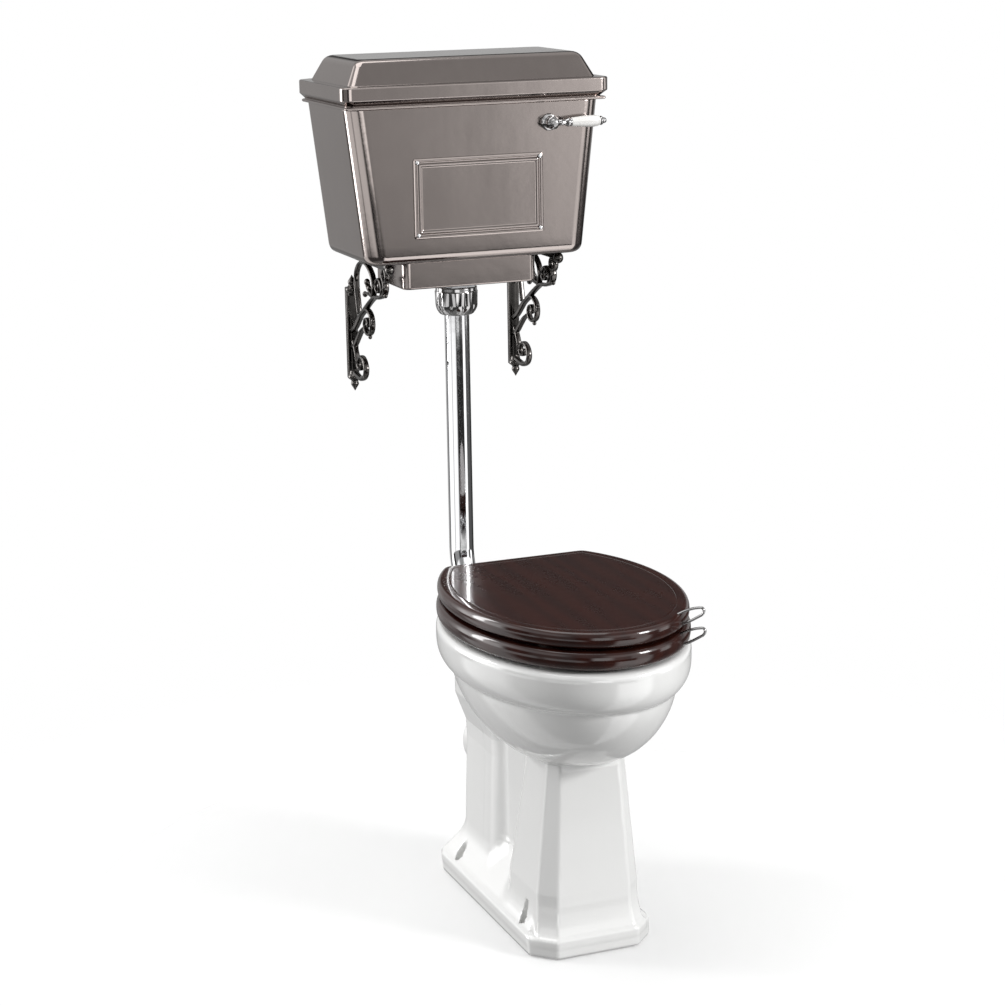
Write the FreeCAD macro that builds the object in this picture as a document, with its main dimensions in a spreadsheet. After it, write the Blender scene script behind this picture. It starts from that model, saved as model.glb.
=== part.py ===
import FreeCAD, Part
import Sketcher
import math
import os
import re
from types import SimpleNamespace

# A floor-standing lavatory suite: ceramic pan, wooden seat and lid, flush pipe and a cistern on brackets.
# The origin is on the floor, in the middle of the four floor fixings. The wall stands at +Y and +Z is up.

doc = FreeCAD.newDocument("low_level_toilet")
Vector = FreeCAD.Vector
Rotation = FreeCAD.Rotation
ALONG_X = Rotation(Vector(0, 1, 0), 90)
ALONG_Y = Rotation(Vector(1, 0, 0), -90)
UPRIGHT_WEDGE = Rotation(Vector(1, 0, 0), 90)
NO_TURN = Rotation()
LEFT = -1
RIGHT = 1
SIDES = (("left", LEFT), ("right", RIGHT))

# Driving sizes, in millimetres and degrees.
SIZES = {
    # Room
    "wall_y": 420,
    # Length by which cutting tools run past a face
    "overcut": 1,
    # Pan
    "pan_height": 452,
    "rim_half_width": 168,
    "rim_half_length": 241,
    "rim_centre": 84,
    "rim_band": 62,
    "rim_tuck": 18,
    "rim_straight": 8,
    "rim_edge": 8,
    "bowl_drop": 100,
    "bowl_power": 1.62,
    "neck_half_width": 54,
    "neck_front": 184,
    "neck_rear": 50,
    "neck_drop": 38,
    "opening_half_width": 112,
    "opening_front": 258,
    "opening_rear": 42,
    "bowl_floor": 13,
    "bowl_bands": 12,
    "throat_half_width": 42,
    "throat_front": 150,
    "throat_rear": 4,
    "throat_lap": 2,
    "foot_width": 188,
    "foot_length": 412,
    "foot_chamfer": 31,
    "foot_side": 28,
    "column_face_low": 56,
    "column_face_high": 45,
    "column_front_low": 191,
    "column_front_high": 180,
    "column_chamfer_low": 22,
    "column_chamfer_high": 14,
    "column_waist": 60,
    "column_waist_back": 24,
    "column_rear": 60,
    "column_flare": 34,
    "column_flare_reach": 11,
    "column_flare_share": 0.4,
    "web_half_width": 50,
    "web_rear": 60,
    "web_lap": 10,
    "trunk_front": 25,
    "trunk_rear": 165,
    "trunk_half_low": 64,
    "trunk_half_mid": 58,
    "trunk_half_high": 77,
    "trunk_mid": 240,
    "trunk_shoulder": 285,
    "trunk_corner": 16,
    "trunk_drop": 6,
    "skirt_half_width": 86,
    "skirt_front": 92,
    "skirt_rear": 100,
    "skirt_rise": 54,
    "skirt_slope": 34,
    "trap_radius": 38,
    "trap_leg": 40,
    "trap_bend": 50,
    "trap_low": 124,
    "outlet_height": 200,
    "outlet_radius": 51,
    "outlet_end": 190,
    "outlet_plain": 20,
    "outlet_neck": 48.5,
    "cavity_front": 168,
    "cavity_depth": 66,
    "cavity_half_width": 40,
    "cavity_height": 200,
    "heel_start": 120,
    "heel_depth": 30,
    "heel_height": 136,
    "fixing_half_across": 76,
    "fixing_half_along": 130,
    "fixing_hole": 4.5,
    "fixing_pocket": 11,
    "fixing_pocket_depth": 4,
    "shelf_thick": 24,
    "shelf_pocket_inner": 60,
    "shelf_pocket_half": 19,
    "shelf_pocket_height": 44,
    "flush_drop": 54,
    "flush_throat": 20,
    "recess_half_width": 58,
    "recess_low": 268,
    "recess_high": 350,
    "recess_depth": 95,
    "rim_part": 54,
    "shelf_part": 60,
    "column_part": 85,
    # Flush cone and pipe
    "cone_plug": 29,
    "cone_plug_length": 30,
    "cone_flange": 35,
    "cone_flange_thick": 5,
    "cone_lip": 4,
    "cone_fit": 0.1,
    "pipe_radius": 19,
    "pipe_wall": 1.5,
    "pipe_offset": 108,
    "pipe_bend": 78,
    "pipe_entry": 14,
    "pipe_collar": 23,
    "pipe_collar_thick": 7,
    "pipe_fit": 0.3,
    # Tail, nuts and seals under the cistern
    "tail_radius": 25,
    "tail_bore": 20,
    "tail_length": 34,
    "thread_fit": 0.1,
    "backnut_radius": 36,
    "backnut_thick": 8,
    "pipe_nut_radius": 34,
    "pipe_nut_height": 43,
    "pipe_nut_ledge": 11,
    "pipe_nut_sides": 12,
    "nut_sides": 6,
    "tail_washer_thick": 3,
    "tail_flange": 34,
    "tail_flange_thick": 6,
    # Cistern
    "tank_base": 937,
    "tank_height": 228,
    "tank_top_width": 398,
    "tank_base_width": 345,
    "tank_depth": 212,
    "tank_wall": 4,
    "tank_corner": 22,
    "tank_base_round": 12,
    "plinth_width": 213,
    "plinth_depth": 132,
    "plinth_height": 43,
    "plinth_corner": 12,
    "plinth_floor": 6,
    "boss_radius": 19,
    "boss_inside": 12,
    "boss_outside": 6,
    "plaque_width": 205,
    "plaque_height": 118,
    "plaque_middle": 1033,
    "plaque_thick": 3,
    "plaque_border": 10,
    "plaque_recess": 1.5,
    "rivet_radius": 3,
    "rivet_proud": 1.5,
    "rivet_inset": 6,
    # Cistern lid
    "lid_overhang": 10,
    "cove_height": 13,
    "cove_reach": 9,
    "band_height": 20,
    "hip_inset": 16,
    "hip_slope": 18,
    "hip_height": 37,
    "cover_ledge": 10,
    "cover_roof": 6,
    "cover_roof_slope": 20,
    "lip_drop": 8,
    "lip_thick": 3,
    "lip_gap": 2.5,
    # Brackets
    "bracket_x": 135,
    "bar_width": 18,
    "bar_thick": 9,
    "bar_low": 735,
    "bar_high": 880,
    "finial_radius": 8,
    "finial_length": 18,
    "finial_tip": 2,
    "collar_radius": 11,
    "collar_thick": 6,
    "scroll_thick": 11,
    "scroll_band": 9,
    "arch_radius": 52,
    "arm_reach": 190,
    "arm_thick": 11,
    "knob_radius": 9,
    "knob_drop": 10,
    "brace_radius": 118,
    "curl_radius": 15,
    "front_curl": 19,
    "foot_curl_z": 762,
    "wall_screw": 3.2,
    "wall_screw_low": 795,
    "wall_screw_high": 850,
    # Lever
    "lever_x": 113,
    "lever_drop": 30,
    "rosette_radius": 13,
    "rosette_thick": 6,
    "rosette_face": 9,
    "rosette_edge": 3,
    "bush_radius": 7,
    "bush_length": 18,
    "locknut_radius": 12,
    "locknut_thick": 5,
    "spindle_radius": 4.5,
    "spindle_fit": 0.05,
    "hub_radius": 10,
    "hub_gap": 1,
    "hub_length": 20,
    "hub_nose": 6,
    "hub_nose_length": 6,
    "hub_back": 7,
    "hub_back_length": 6,
    "hub_flat": 2,
    "ferrule_radius": 5,
    "ferrule_collar": 7,
    "ferrule_length": 20,
    "ferrule_collar_length": 5,
    "ferrule_flare": 3,
    "grip_length": 46,
    "grip_thin": 5.5,
    "grip_thick": 8.5,
    "grip_belly": 30,
    "grip_shoulder": 7.6,
    "grip_shoulder_length": 5,
    "tip_radius": 7,
    "tip_length": 11,
    "tip_seat": 5.6,
    "tip_bead": 3.3,
    "tip_end": 3.5,
    "crank_reach": 51,
    "crank_rest": 20,
    "crank_height": 12,
    "crank_thick": 5,
    "crank_boss": 8,
    "crank_gap": 2,
    "crank_pin": 2.5,
    "crank_pin_length": 14,
    # Siphon
    "siphon_wall": 3,
    "chamber_radius": 36,
    "chamber_lift": 8,
    "chamber_headroom": 88,
    "bridge_height": 42,
    "plunger_gap": 0.6,
    "plunger_thick": 5,
    "plunger_rise": 3,
    "rod_radius": 3,
    "rod_fit": 0.08,
    "flap_thick": 1.5,
    "flap_inset": 3,
    "link_width": 20,
    "link_thick": 6,
    "link_over": 9,
    "link_play": 0.4,
    "link_sway": 2.4,
    # Float valve
    "valve_back": 48,
    "valve_drop": 55,
    "inlet_radius": 10.4,
    "inlet_length": 34,
    "inlet_neck": 8.8,
    "inlet_neck_gap": 2,
    "inlet_neck_length": 4,
    "waterway": 4,
    "valve_flange": 17,
    "valve_flange_thick": 4,
    "valve_nut_radius": 18,
    "valve_nut_thick": 6,
    "barrel_radius": 13,
    "barrel_length": 60,
    "piston_radius": 7,
    "piston_fit": 0.08,
    "piston_length": 26,
    "piston_room": 10,
    "piston_slot": 6,
    "pivot_drop": 18,
    "pivot_in": 14,
    "lug_width": 18,
    "lug_length": 14,
    "lug_depth": 8,
    "slot_width": 8.8,
    "pin_radius": 2.5,
    "pin_fit": 0.06,
    "arm_plate": 8,
    "arm_tip": 4,
    "arm_tip_over": 3,
    "arm_rod": 3,
    "arm_hub": 6,
    "arm_length": 215,
    "float_radius": 40,
    "float_seat": 6,
    "float_seat_depth": 3,
    "float_drop": 28,
    # Seat
    "seat_half_width": 165,
    "seat_half_length": 238,
    "seat_centre": 84,
    "seat_rear": 93,
    "ring_grow": 2,
    "ring_buffer": 5,
    "ring_thick": 26,
    "lid_buffer": 4,
    "lid_thick": 23,
    "ring_hole_half_width": 110,
    "ring_hole_half_length": 148,
    "ring_hole_centre": 106,
    "board_round": 10,
    "board_corner": 20,
    "buffer_radius": 9,
    "buffer_track": 0.845,
    "buffer_front_angle": 40,
    "buffer_rear_angle": 120,
    "handle_angle": 36,
    "handle_turn": 45,
    "handle_set": 12,
    "handle_reach": 24,
    "handle_half": 7,
    "handle_wire": 1.6,
    "handle_fit": 0.05,
    # Hinge
    "hinge_half_spacing": 77.5,
    "hinge_y": 112,
    "hinge_rise": 20,
    "hinge_hole": 7.5,
    "pad_thick": 2,
    "pillar_flange": 15,
    "pillar_flange_thick": 4,
    "pillar_radius": 7,
    "eye_radius": 10,
    "eye_width": 14,
    "stud_radius": 4,
    "stud_below": 20,
    "hinge_rod": 5,
    "hinge_fit": 0.06,
    "hinge_cap": 7.5,
    "hinge_cap_length": 5,
    "wing_hub": 7,
    "wing_hub_height": 9,
    "wing_span": 30,
    "wing_thick": 3,
    "strap_width": 15,
    "strap_thick": 2.5,
    "strap_length": 40,
    "strap_upright": 6,
    "knuckle_radius": 8.5,
    "ring_strap_x": 52,
    "lid_strap_x": 35,
}

# Levels and places worked out from the driving sizes.
LEVELS = {
    "ring_base": "pan_height + ring_buffer",
    "ring_top": "ring_base + ring_thick",
    "lid_base": "ring_top + lid_buffer",
    "hinge_z": "pan_height + hinge_rise",
    "pillar_base": "pan_height + pad_thick",
    "shelf_under": "pan_height - shelf_thick",
    "flush_height": "pan_height - flush_drop",
    "tank_top": "tank_base + tank_height",
    "lever_z": "tank_top - lever_drop",
    "valve_z": "tank_top - valve_drop",
    "tank_front": "wall_y - tank_depth",
    "tank_slope": "(tank_top_width - tank_base_width) / 2 / tank_height",
    "plinth_base": "tank_base - plinth_height",
    "pipe_y": "wall_y - pipe_offset",
    "sump_floor": "plinth_base + plinth_floor",
    "tail_end": "plinth_base - tail_length",
    "collar_base": "tail_end - pipe_collar_thick",
    "nut_base": "collar_base - pipe_nut_ledge",
    "flange_base": "sump_floor + tail_washer_thick",
    "flange_top": "flange_base + tail_flange_thick",
    "chamber_base": "flange_top + chamber_lift",
    "chamber_height": "tank_height - chamber_headroom",
    "chamber_top": "chamber_base + chamber_height",
    "bridge_top": "chamber_top + bridge_height / 2",
    "bridge_base": "chamber_top - bridge_height / 2",
    "leg_radius": "tail_bore + siphon_wall",
    "bore_radius": "chamber_radius - siphon_wall",
    "siphon_x": "lever_x - crank_reach * (1 + cos(crank_rest)) / 2",
    "plunger_base": "chamber_base + plunger_rise",
    "flap_base": "plunger_base + plunger_thick",
    "crank_pin_z": "lever_z - crank_reach * sin(crank_rest)",
    "link_base": "crank_pin_z - link_width",
    "cove_base": "tank_top",
    "band_base": "tank_top + cove_height",
    "band_top": "band_base + band_height",
    "cover_top": "band_top + hip_height",
    "cover_half": "tank_top_width / 2 + lid_overhang",
    "cover_front": "tank_front - lid_overhang",
    "side_x": "tank_base_width / 2 + tank_slope * (valve_z - tank_base)",
    "valve_y": "wall_y - valve_back",
    "boss_face_in": "side_x - boss_inside",
    "boss_face_out": "side_x + boss_outside",
    "valve_flange_x": "boss_face_in - valve_flange_thick",
    "barrel_end": "valve_flange_x - barrel_length",
    "pivot_x": "barrel_end + pivot_in",
    "pivot_z": "valve_z - pivot_drop",
    "piston_open": "pivot_drop * sin(float_drop)",
    "hub_y": "tank_front - rosette_thick - hub_gap - hub_length / 2",
    "grip_x": "lever_x + hub_radius - hub_flat + ferrule_length",
    "arm_y": "wall_y - bar_thick / 2 - arch_radius",
    "arm_mid": "tank_base - arm_thick / 2",
    "arch_z": "tank_base - arch_radius - scroll_band / 2",
    "arm_front": "wall_y - arm_reach",
}

sheet = doc.addObject("Spreadsheet::Sheet", "dims")
for row, (alias, size) in enumerate(SIZES.items(), start=1):
    sheet.set(f"A{row}", alias)
    sheet.set(f"B{row}", str(size))
    sheet.setAlias(f"B{row}", alias)
doc.recompute()

OWNER = {alias: "dims." for alias in SIZES}
OWNER.update({name: "levels." for name in LEVELS})


def bind(formula):
    """Write a formula's bare names as references to the sheet or to the levels."""
    return re.sub(r"[a-z][a-z0-9_]*", lambda word: OWNER.get(word.group(), "") + word.group(), formula)


levels = doc.addObject("App::VarSet", "levels")
for name, formula in LEVELS.items():
    levels.addProperty("App::PropertyFloat", name)
    levels.setExpression(name, bind(formula))
doc.recompute()

size = SimpleNamespace(**{alias: float(sheet.get(alias)) for alias in SIZES})
for name in LEVELS:
    setattr(size, name, getattr(levels, name))

nodes = []


def node(thing, label):
    """Name a finished sub-part; its label is its file's name."""
    thing.Label = label
    nodes.append(thing)
    return thing


def move(thing, place, turn=NO_TURN):
    """Put an object at three formulas, turned by a fixed rotation."""
    thing.Placement = FreeCAD.Placement(Vector(), turn)
    for axis, formula in zip("xyz", place):
        thing.setExpression(f"Placement.Base.{axis}", bind(formula))
    return thing


def solid(kind, name, place=("0", "0", "0"), turn=NO_TURN, **sizes):
    """Add a Part primitive whose properties follow formulas."""
    thing = doc.addObject("Part::" + kind, name)
    for prop, formula in sizes.items():
        thing.setExpression(prop, bind(formula))
    return move(thing, place, turn)


def rod(name, place, radius, length, turn=NO_TURN):
    """Add a round bar from its start point along its turned Z axis."""
    return solid("Cylinder", name, place, turn, Radius=radius, Height=length)


def block(name, middle_x, y_from, z_from, width, depth, height):
    """Add a box centred on one X value, from given Y and Z values."""
    corner = (f"{middle_x} - ({width}) / 2", y_from, z_from)
    return solid("Box", name, corner, Length=width, Width=depth, Height=height)


def fuse(name, things):
    """Join several objects into one."""
    thing = doc.addObject("Part::MultiFuse", name)
    thing.Shapes = things
    thing.Refine = True
    return thing


def cut(name, base, tool):
    """Take one object out of another."""
    thing = doc.addObject("Part::Cut", name)
    thing.Base = base
    thing.Tool = tool
    return thing


def hollow(name, outers, inners):
    """Join the outer objects and take the inner ones out of them."""
    base = outers[0] if len(outers) == 1 else fuse(name + "_outer", outers)
    tool = inners[0] if len(inners) == 1 else fuse(name + "_inner", inners)
    return cut(name, base, tool)


def wedge(name, base_z, height, low, high):
    """Add a frustum between two rectangles, each given as half width, near Y and far Y."""
    thing = doc.addObject("Part::Wedge", name)
    formulas = {"Ymin": "0", "Ymax": height}
    for (half, near, far), suffix in ((low, ""), (high, "2")):
        formulas[f"X{suffix}min"] = f"-({half})"
        formulas[f"X{suffix}max"] = half
        formulas[f"Z{suffix}min"] = f"-({far})"
        formulas[f"Z{suffix}max"] = f"-({near})"
    for prop, formula in formulas.items():
        thing.setExpression(prop, bind(formula))
    return move(thing, ("0", "0", base_z), UPRIGHT_WEDGE)


def origin_plane(body, role):
    """Find one of a body's own origin planes."""
    return next(feature for feature in body.Origin.OriginFeatures if feature.Role == role)


def drawn(body, name, points):
    """Draw a closed outline of straight lines on a body's XZ plane, each corner at two formulas."""
    sketch = body.newObject("Sketcher::SketchObject", name)
    sketch.AttachmentSupport = (origin_plane(body, "XZ_Plane"), [""])
    sketch.MapMode = "FlatFace"
    count = len(points)
    turn = 2 * math.pi / count
    start = [Vector(5 + 4 * math.cos(turn * i), 5 + 4 * math.sin(turn * i), 0) for i in range(count)]
    for i in range(count):
        sketch.addGeometry(Part.LineSegment(start[i], start[(i + 1) % count]))
    for i in range(count):
        sketch.addConstraint(Sketcher.Constraint("Coincident", i, 2, (i + 1) % count, 1))
    for i, (across, up) in enumerate(points):
        for kind, axis, formula in (("DistanceX", -2, across), ("DistanceY", -1, up)):
            if formula == "0":
                sketch.addConstraint(Sketcher.Constraint("PointOnObject", i, 1, axis))
                continue
            index = sketch.addConstraint(Sketcher.Constraint(kind, -1, 1, i, 1, 1.0))
            sketch.setExpression(f"Constraints[{index}]", bind(formula))
    return sketch


def turned(name, points, place=("0", "0", "0"), turn=NO_TURN):
    """Turn an outline of radius and height formulas round its own Z axis."""
    body = doc.addObject("PartDesign::Body", name)
    sketch = drawn(body, name + "_outline", points)
    spin = body.newObject("PartDesign::Revolution", name + "_turned")
    spin.Profile = sketch
    spin.ReferenceAxis = (sketch, ["V_Axis"])
    spin.Angle = 360
    return move(body, place, turn)


def ring(name, inner, outer, low, height, place, turn=NO_TURN):
    """Turn a plain ring with a square section."""
    top = f"{low} + {height}"
    return turned(name, [(inner, low), (outer, low), (outer, top), (inner, top)], place, turn)


def coded(name, shape):
    """Hold a shape that lofts and sweeps need, made from the same sizes."""
    thing = doc.addObject("Part::Feature", name)
    thing.Shape = shape
    thing.Placement = FreeCAD.Placement(Vector(), NO_TURN)
    return thing


def oval(half_width, front, rear, z):
    """Make an upright-axis oval wire between a front and a rear Y value."""
    half_length = max((rear - front) / 2, half_width + 0.01)
    middle = (front + rear) / 2
    centre = Vector(0, middle, z)
    curve = Part.Ellipse(Vector(0, middle + half_length, z), Vector(half_width, middle, z), centre)
    return Part.Wire([curve.toShape()])


def mirrored_outline(half, z):
    """Make a closed wire from the points of its right half, front to rear."""
    points = [Vector(x, y, z) for x, y in half]
    points += [Vector(-x, y, z) for x, y in reversed(half)]
    return Part.makePolygon(points + points[:1])


def bowl_share(depth):
    """Give the share of the bowl's inward curve at a share of its depth."""
    return 1 - max(0.0, 1 - depth ** size.bowl_power) ** (1 / size.bowl_power)


def pan_rim():
    """Loft the oval rim band: tucked in below, upright, then rounded over at the top."""
    low = size.pan_height - size.rim_band
    upright = size.pan_height - size.rim_edge - size.rim_straight
    stations = [(low + (upright - low) * i / 4, size.rim_tuck * (1 - i / 4) ** 2) for i in range(5)]
    for angle in (0, 30, 60, 90):
        rise = math.sin(math.radians(angle))
        tuck = 1 - math.cos(math.radians(angle))
        stations.append((size.pan_height - size.rim_edge * (1 - rise), size.rim_edge * tuck))
    wires = []
    for z, inset in stations:
        half_length = size.rim_half_length - inset
        wires.append(oval(size.rim_half_width - inset, -size.rim_centre - half_length,
                          half_length - size.rim_centre, z))
    return Part.makeLoft(wires, True, True)


def pan_bowl():
    """Loft the outside of the bowl from the rim down to the neck."""
    top = size.pan_height - size.rim_band
    wires = []
    bands = int(size.bowl_bands)
    for step in range(bands + 1):
        depth = math.sin(math.pi / 2 * step / bands)
        share = bowl_share(depth)
        half = size.rim_half_width - size.rim_tuck
        half_length = size.rim_half_length - size.rim_tuck
        front = -size.rim_centre - half_length
        rear = half_length - size.rim_centre
        wires.append(oval(half + (size.neck_half_width - half) * share,
                          front + (-size.neck_front - front) * share,
                          rear + (-size.neck_rear - rear) * share,
                          top - size.bowl_drop * depth))
    return Part.makeLoft(wires, True, True)


def pan_neck():
    """Make the short neck between the bowl and the column."""
    top = size.pan_height - size.rim_band - size.bowl_drop
    wire = oval(size.neck_half_width, -size.neck_front, -size.neck_rear, top - size.neck_drop)
    return Part.Face(wire).extrude(Vector(0, 0, size.neck_drop + 2 * size.overcut))


def pan_column():
    """Loft the eight-sided front column, flared where it meets the foot."""
    top = size.pan_height - size.rim_band - size.bowl_drop - size.neck_drop / 2
    flare_top = size.foot_side + size.column_flare
    stations = []
    for step in (0, 0.35, 0.7, 1):
        reach = size.column_flare_reach * (1 - step) ** 2
        stations.append((size.foot_side - size.overcut + (size.column_flare + size.overcut) * step, 0.0, reach))
    stations.append((top, 1.0, 0.0))
    wires = []
    for z, share, reach in stations:
        face = size.column_face_low + (size.column_face_high - size.column_face_low) * share
        face += reach * size.column_flare_share
        front = -(size.column_front_low + (size.column_front_high - size.column_front_low) * share + reach)
        chamfer = size.column_chamfer_low + (size.column_chamfer_high - size.column_chamfer_low) * share
        side = face + chamfer
        above = max(0.0, (z - flare_top) / (top - flare_top))
        waist = size.column_waist + (side - size.overcut - size.column_waist) * above
        half = [(face, front), (side, front + chamfer), (waist, front + chamfer + size.column_waist_back),
                (size.web_half_width, -size.column_rear)]
        wires.append(mirrored_outline(half, z))
    return Part.makeLoft(wires, True, True)


def trunk_outline(half, z):
    """Draw the rear trunk's plan with cut-off rear corners."""
    corner = size.trunk_corner
    return mirrored_outline([(half, size.trunk_front), (half, size.trunk_rear - corner),
                             (half - corner, size.trunk_rear)], z)


def pan_trunk():
    """Loft the rear trunk, wider at the shelf, with a flat back for the flush inlet."""
    stations = [(size.foot_side - size.overcut, size.trunk_half_low), (size.trunk_mid, size.trunk_half_mid),
                (size.trunk_shoulder, size.trunk_half_high),
                (size.pan_height - size.trunk_drop, size.trunk_half_high)]
    return Part.makeLoft([trunk_outline(half, z) for z, half in stations], True, True)


def pan_skirt():
    """Loft the low swelling along both sides of the foot."""
    base = size.foot_side - size.overcut
    low = [(size.skirt_half_width, -size.skirt_front), (size.skirt_half_width, size.skirt_rear)]
    half = size.skirt_half_width - size.skirt_slope
    high = [(half, size.skirt_slope - size.skirt_front), (half, size.skirt_rear - size.skirt_slope)]
    return Part.makeLoft([mirrored_outline(low, base), mirrored_outline(high, base + size.skirt_rise)],
                         True, True)


def pan_foot():
    """Make the eight-sided foot plate."""
    half = size.foot_width / 2
    end = size.foot_length / 2
    chamfer = size.foot_chamfer
    outline = mirrored_outline([(half - chamfer, -end), (half, chamfer - end), (half, end - chamfer),
                                (half - chamfer, end)], 0)
    return Part.Face(outline).extrude(Vector(0, 0, size.foot_side))


def box(x_from, x_to, y_from, y_to, z_from, z_to):
    """Make a plain box between two corners."""
    return Part.makeBox(x_to - x_from, y_to - y_from, z_to - z_from, Vector(x_from, y_from, z_from))


def trap_way():
    """Sweep the water trap: down the leg, round under the dip, over the weir and out to the soil spigot."""
    bend = size.trap_bend
    front = -size.trap_leg
    rise = front + 2 * bend
    weir = size.outlet_height - bend
    corner = bend * math.sqrt(0.5)
    leg_top = Vector(0, front, size.outlet_height + bend)
    leg_end = Vector(0, front, size.trap_low)
    rise_start = Vector(0, rise, size.trap_low)
    rise_end = Vector(0, rise, weir)
    level_start = Vector(0, rise + bend, size.outlet_height)
    way_out = Vector(0, size.outlet_end + size.overcut, size.outlet_height)
    route = Part.Wire([
        Part.makeLine(leg_top, leg_end),
        Part.Arc(leg_end, Vector(0, front + bend, size.trap_low - bend), rise_start).toShape(),
        Part.makeLine(rise_start, rise_end),
        Part.Arc(rise_end, Vector(0, rise + bend - corner, weir + corner), level_start).toShape(),
        Part.makeLine(level_start, way_out),
    ])
    mouth = Part.Wire([Part.makeCircle(size.trap_radius, leg_top, Vector(0, 0, -1))])
    return route.makePipeShell([mouth], True, True)


def bowl_inside():
    """Loft the open dish and the throat that leads down into the trap."""
    floor = size.pan_height - size.rim_band - size.bowl_drop + size.bowl_floor
    wires = []
    for depth in (0, 0.3, 0.55, 0.75, 0.9, 0.97, 1):
        share = 1 - math.sqrt(1 - depth ** 2)
        wires.append(oval(size.opening_half_width + (size.throat_half_width - size.opening_half_width) * share,
                          -size.opening_front + (size.opening_front - size.throat_front) * share,
                          size.opening_rear + (size.throat_rear - size.opening_rear) * share,
                          size.pan_height + size.overcut - (size.pan_height + size.overcut - floor) * depth))
    dish = Part.makeLoft(wires, True, False)
    trap_front = -size.trap_leg - size.trap_radius
    trap_rear = size.trap_radius - size.trap_leg
    lap = size.throat_lap
    throat = Part.makeLoft([
        oval(size.throat_half_width + lap, -size.throat_front - lap, size.throat_rear + lap,
             floor + size.overcut),
        oval(size.trap_radius - lap, trap_front + lap, trap_rear - lap, size.outlet_height - lap)], True, True)
    return [dish, throat]


def pan_holes():
    """Collect the bores, pockets and cavities of the pan."""
    holes = []
    up = Vector(0, 0, 1)
    back = Vector(0, 1, 0)
    plug = size.cone_plug + size.cone_fit
    plug_start = size.trunk_rear - size.cone_plug_length
    holes.append(Part.makeCylinder(plug, size.cone_plug_length + size.overcut,
                                   Vector(0, plug_start, size.flush_height), back))
    holes.append(Part.makeCylinder(size.flush_throat, plug_start + size.overcut,
                                   Vector(0, 0, size.flush_height), back))
    for x in (-size.hinge_half_spacing, size.hinge_half_spacing):
        foot = Vector(x, size.hinge_y, size.shelf_under - size.overcut)
        holes.append(Part.makeCylinder(size.hinge_hole, size.shelf_thick + 2 * size.overcut, foot, up))
    reach = size.rim_half_width
    for x_from, x_to in ((-reach, -size.shelf_pocket_inner), (size.shelf_pocket_inner, reach)):
        holes.append(box(x_from, x_to, size.hinge_y - size.shelf_pocket_half,
                         size.hinge_y + size.shelf_pocket_half,
                         size.shelf_under - size.shelf_pocket_height, size.shelf_under))
    for x in (-size.fixing_half_across, size.fixing_half_across):
        for y in (-size.fixing_half_along, size.fixing_half_along):
            holes.append(Part.makeCylinder(size.fixing_hole, size.foot_side + 2 * size.overcut,
                                           Vector(x, y, -size.overcut), up))
            seat = Vector(x, y, size.foot_side - size.fixing_pocket_depth)
            holes.append(Part.makeCylinder(size.fixing_pocket, size.column_flare, seat, up))
    half = size.recess_half_width
    holes.append(box(-half, half, size.trunk_rear - size.recess_depth, size.trunk_rear + size.overcut,
                     size.recess_low,
                     size.recess_high))
    half = size.cavity_half_width
    holes.append(box(-half, half, -size.cavity_front, size.cavity_depth - size.cavity_front,
                     -size.overcut, size.cavity_height))
    holes.append(box(-half, half, size.heel_start, size.heel_start + size.heel_depth, -size.overcut,
                     size.heel_height))
    return holes


def outlet_spigot():
    """Make the soil spigot: a plain end behind a slightly thinner neck."""
    back = Vector(0, 1, 0)
    plain_start = size.outlet_end - size.outlet_plain
    neck = Part.makeCylinder(size.outlet_neck, plain_start + size.overcut - size.web_rear,
                             Vector(0, size.web_rear, size.outlet_height), back)
    plain = Part.makeCylinder(size.outlet_radius, size.outlet_plain,
                              Vector(0, plain_start, size.outlet_height), back)
    return neck.fuse(plain)


def make_pan():
    """Build the ceramic pan from its outer forms and its hollows, stored in five touching parts."""
    bowl_under = size.pan_height - size.rim_band - size.bowl_drop
    web = box(-size.web_half_width, size.web_half_width, -size.column_rear - size.web_lap, size.web_rear,
              size.foot_side - size.overcut, bowl_under + size.rim_band / 2)
    body = pan_foot()
    for form in (pan_column(), web, pan_trunk(), pan_skirt(), pan_neck(), outlet_spigot(), pan_bowl(),
                 pan_rim()):
        body = body.fuse(form)
    for space in bowl_inside() + [trap_way()] + pan_holes():
        body = body.cut(space)
    rim_under = size.pan_height - size.rim_part
    far = size.foot_length
    low_slab = box(-far, far, -far, far, -size.overcut, size.foot_side)
    rear_block = box(-far, far, -size.column_part, far, size.foot_side, bowl_under)
    zones = {
        "pan_rim": box(-far, far, -far, size.shelf_part, rim_under, size.pan_height + size.overcut),
        "pan_shelf": box(-far, far, size.shelf_part, far, rim_under, size.pan_height + size.overcut),
        "pan_bowl": box(-far, far, -far, far, bowl_under, rim_under),
        "pan_column": box(-far, far, -far, -size.column_part, size.foot_side, bowl_under),
        "pan_trunk": low_slab.fuse(rear_block),
    }
    for label, zone in zones.items():
        node(coded(label + "_body", body.common(zone).Solids[0]), label)


make_pan()


def seat_board(name, grow, base, thick):
    """Make one oval board of the seat, cut straight at the rear."""
    curve = solid("Ellipse", name + "_curve", ("0", "-seat_centre", base), Rotation(Vector(0, 0, 1), 90),
                  MajorRadius=f"seat_half_length + {grow}", MinorRadius=f"seat_half_width + {grow}")
    blank = doc.addObject("Part::Extrusion", name + "_blank")
    blank.Base = curve
    blank.Dir = Vector(0, 0, 1)
    blank.Solid = True
    blank.setExpression("LengthFwd", bind(thick))
    waste = block(name + "_waste", "0", "seat_rear", base, "3 * seat_half_width", "seat_half_length", thick)
    return cut(name + "_flat", blank, waste)


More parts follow.
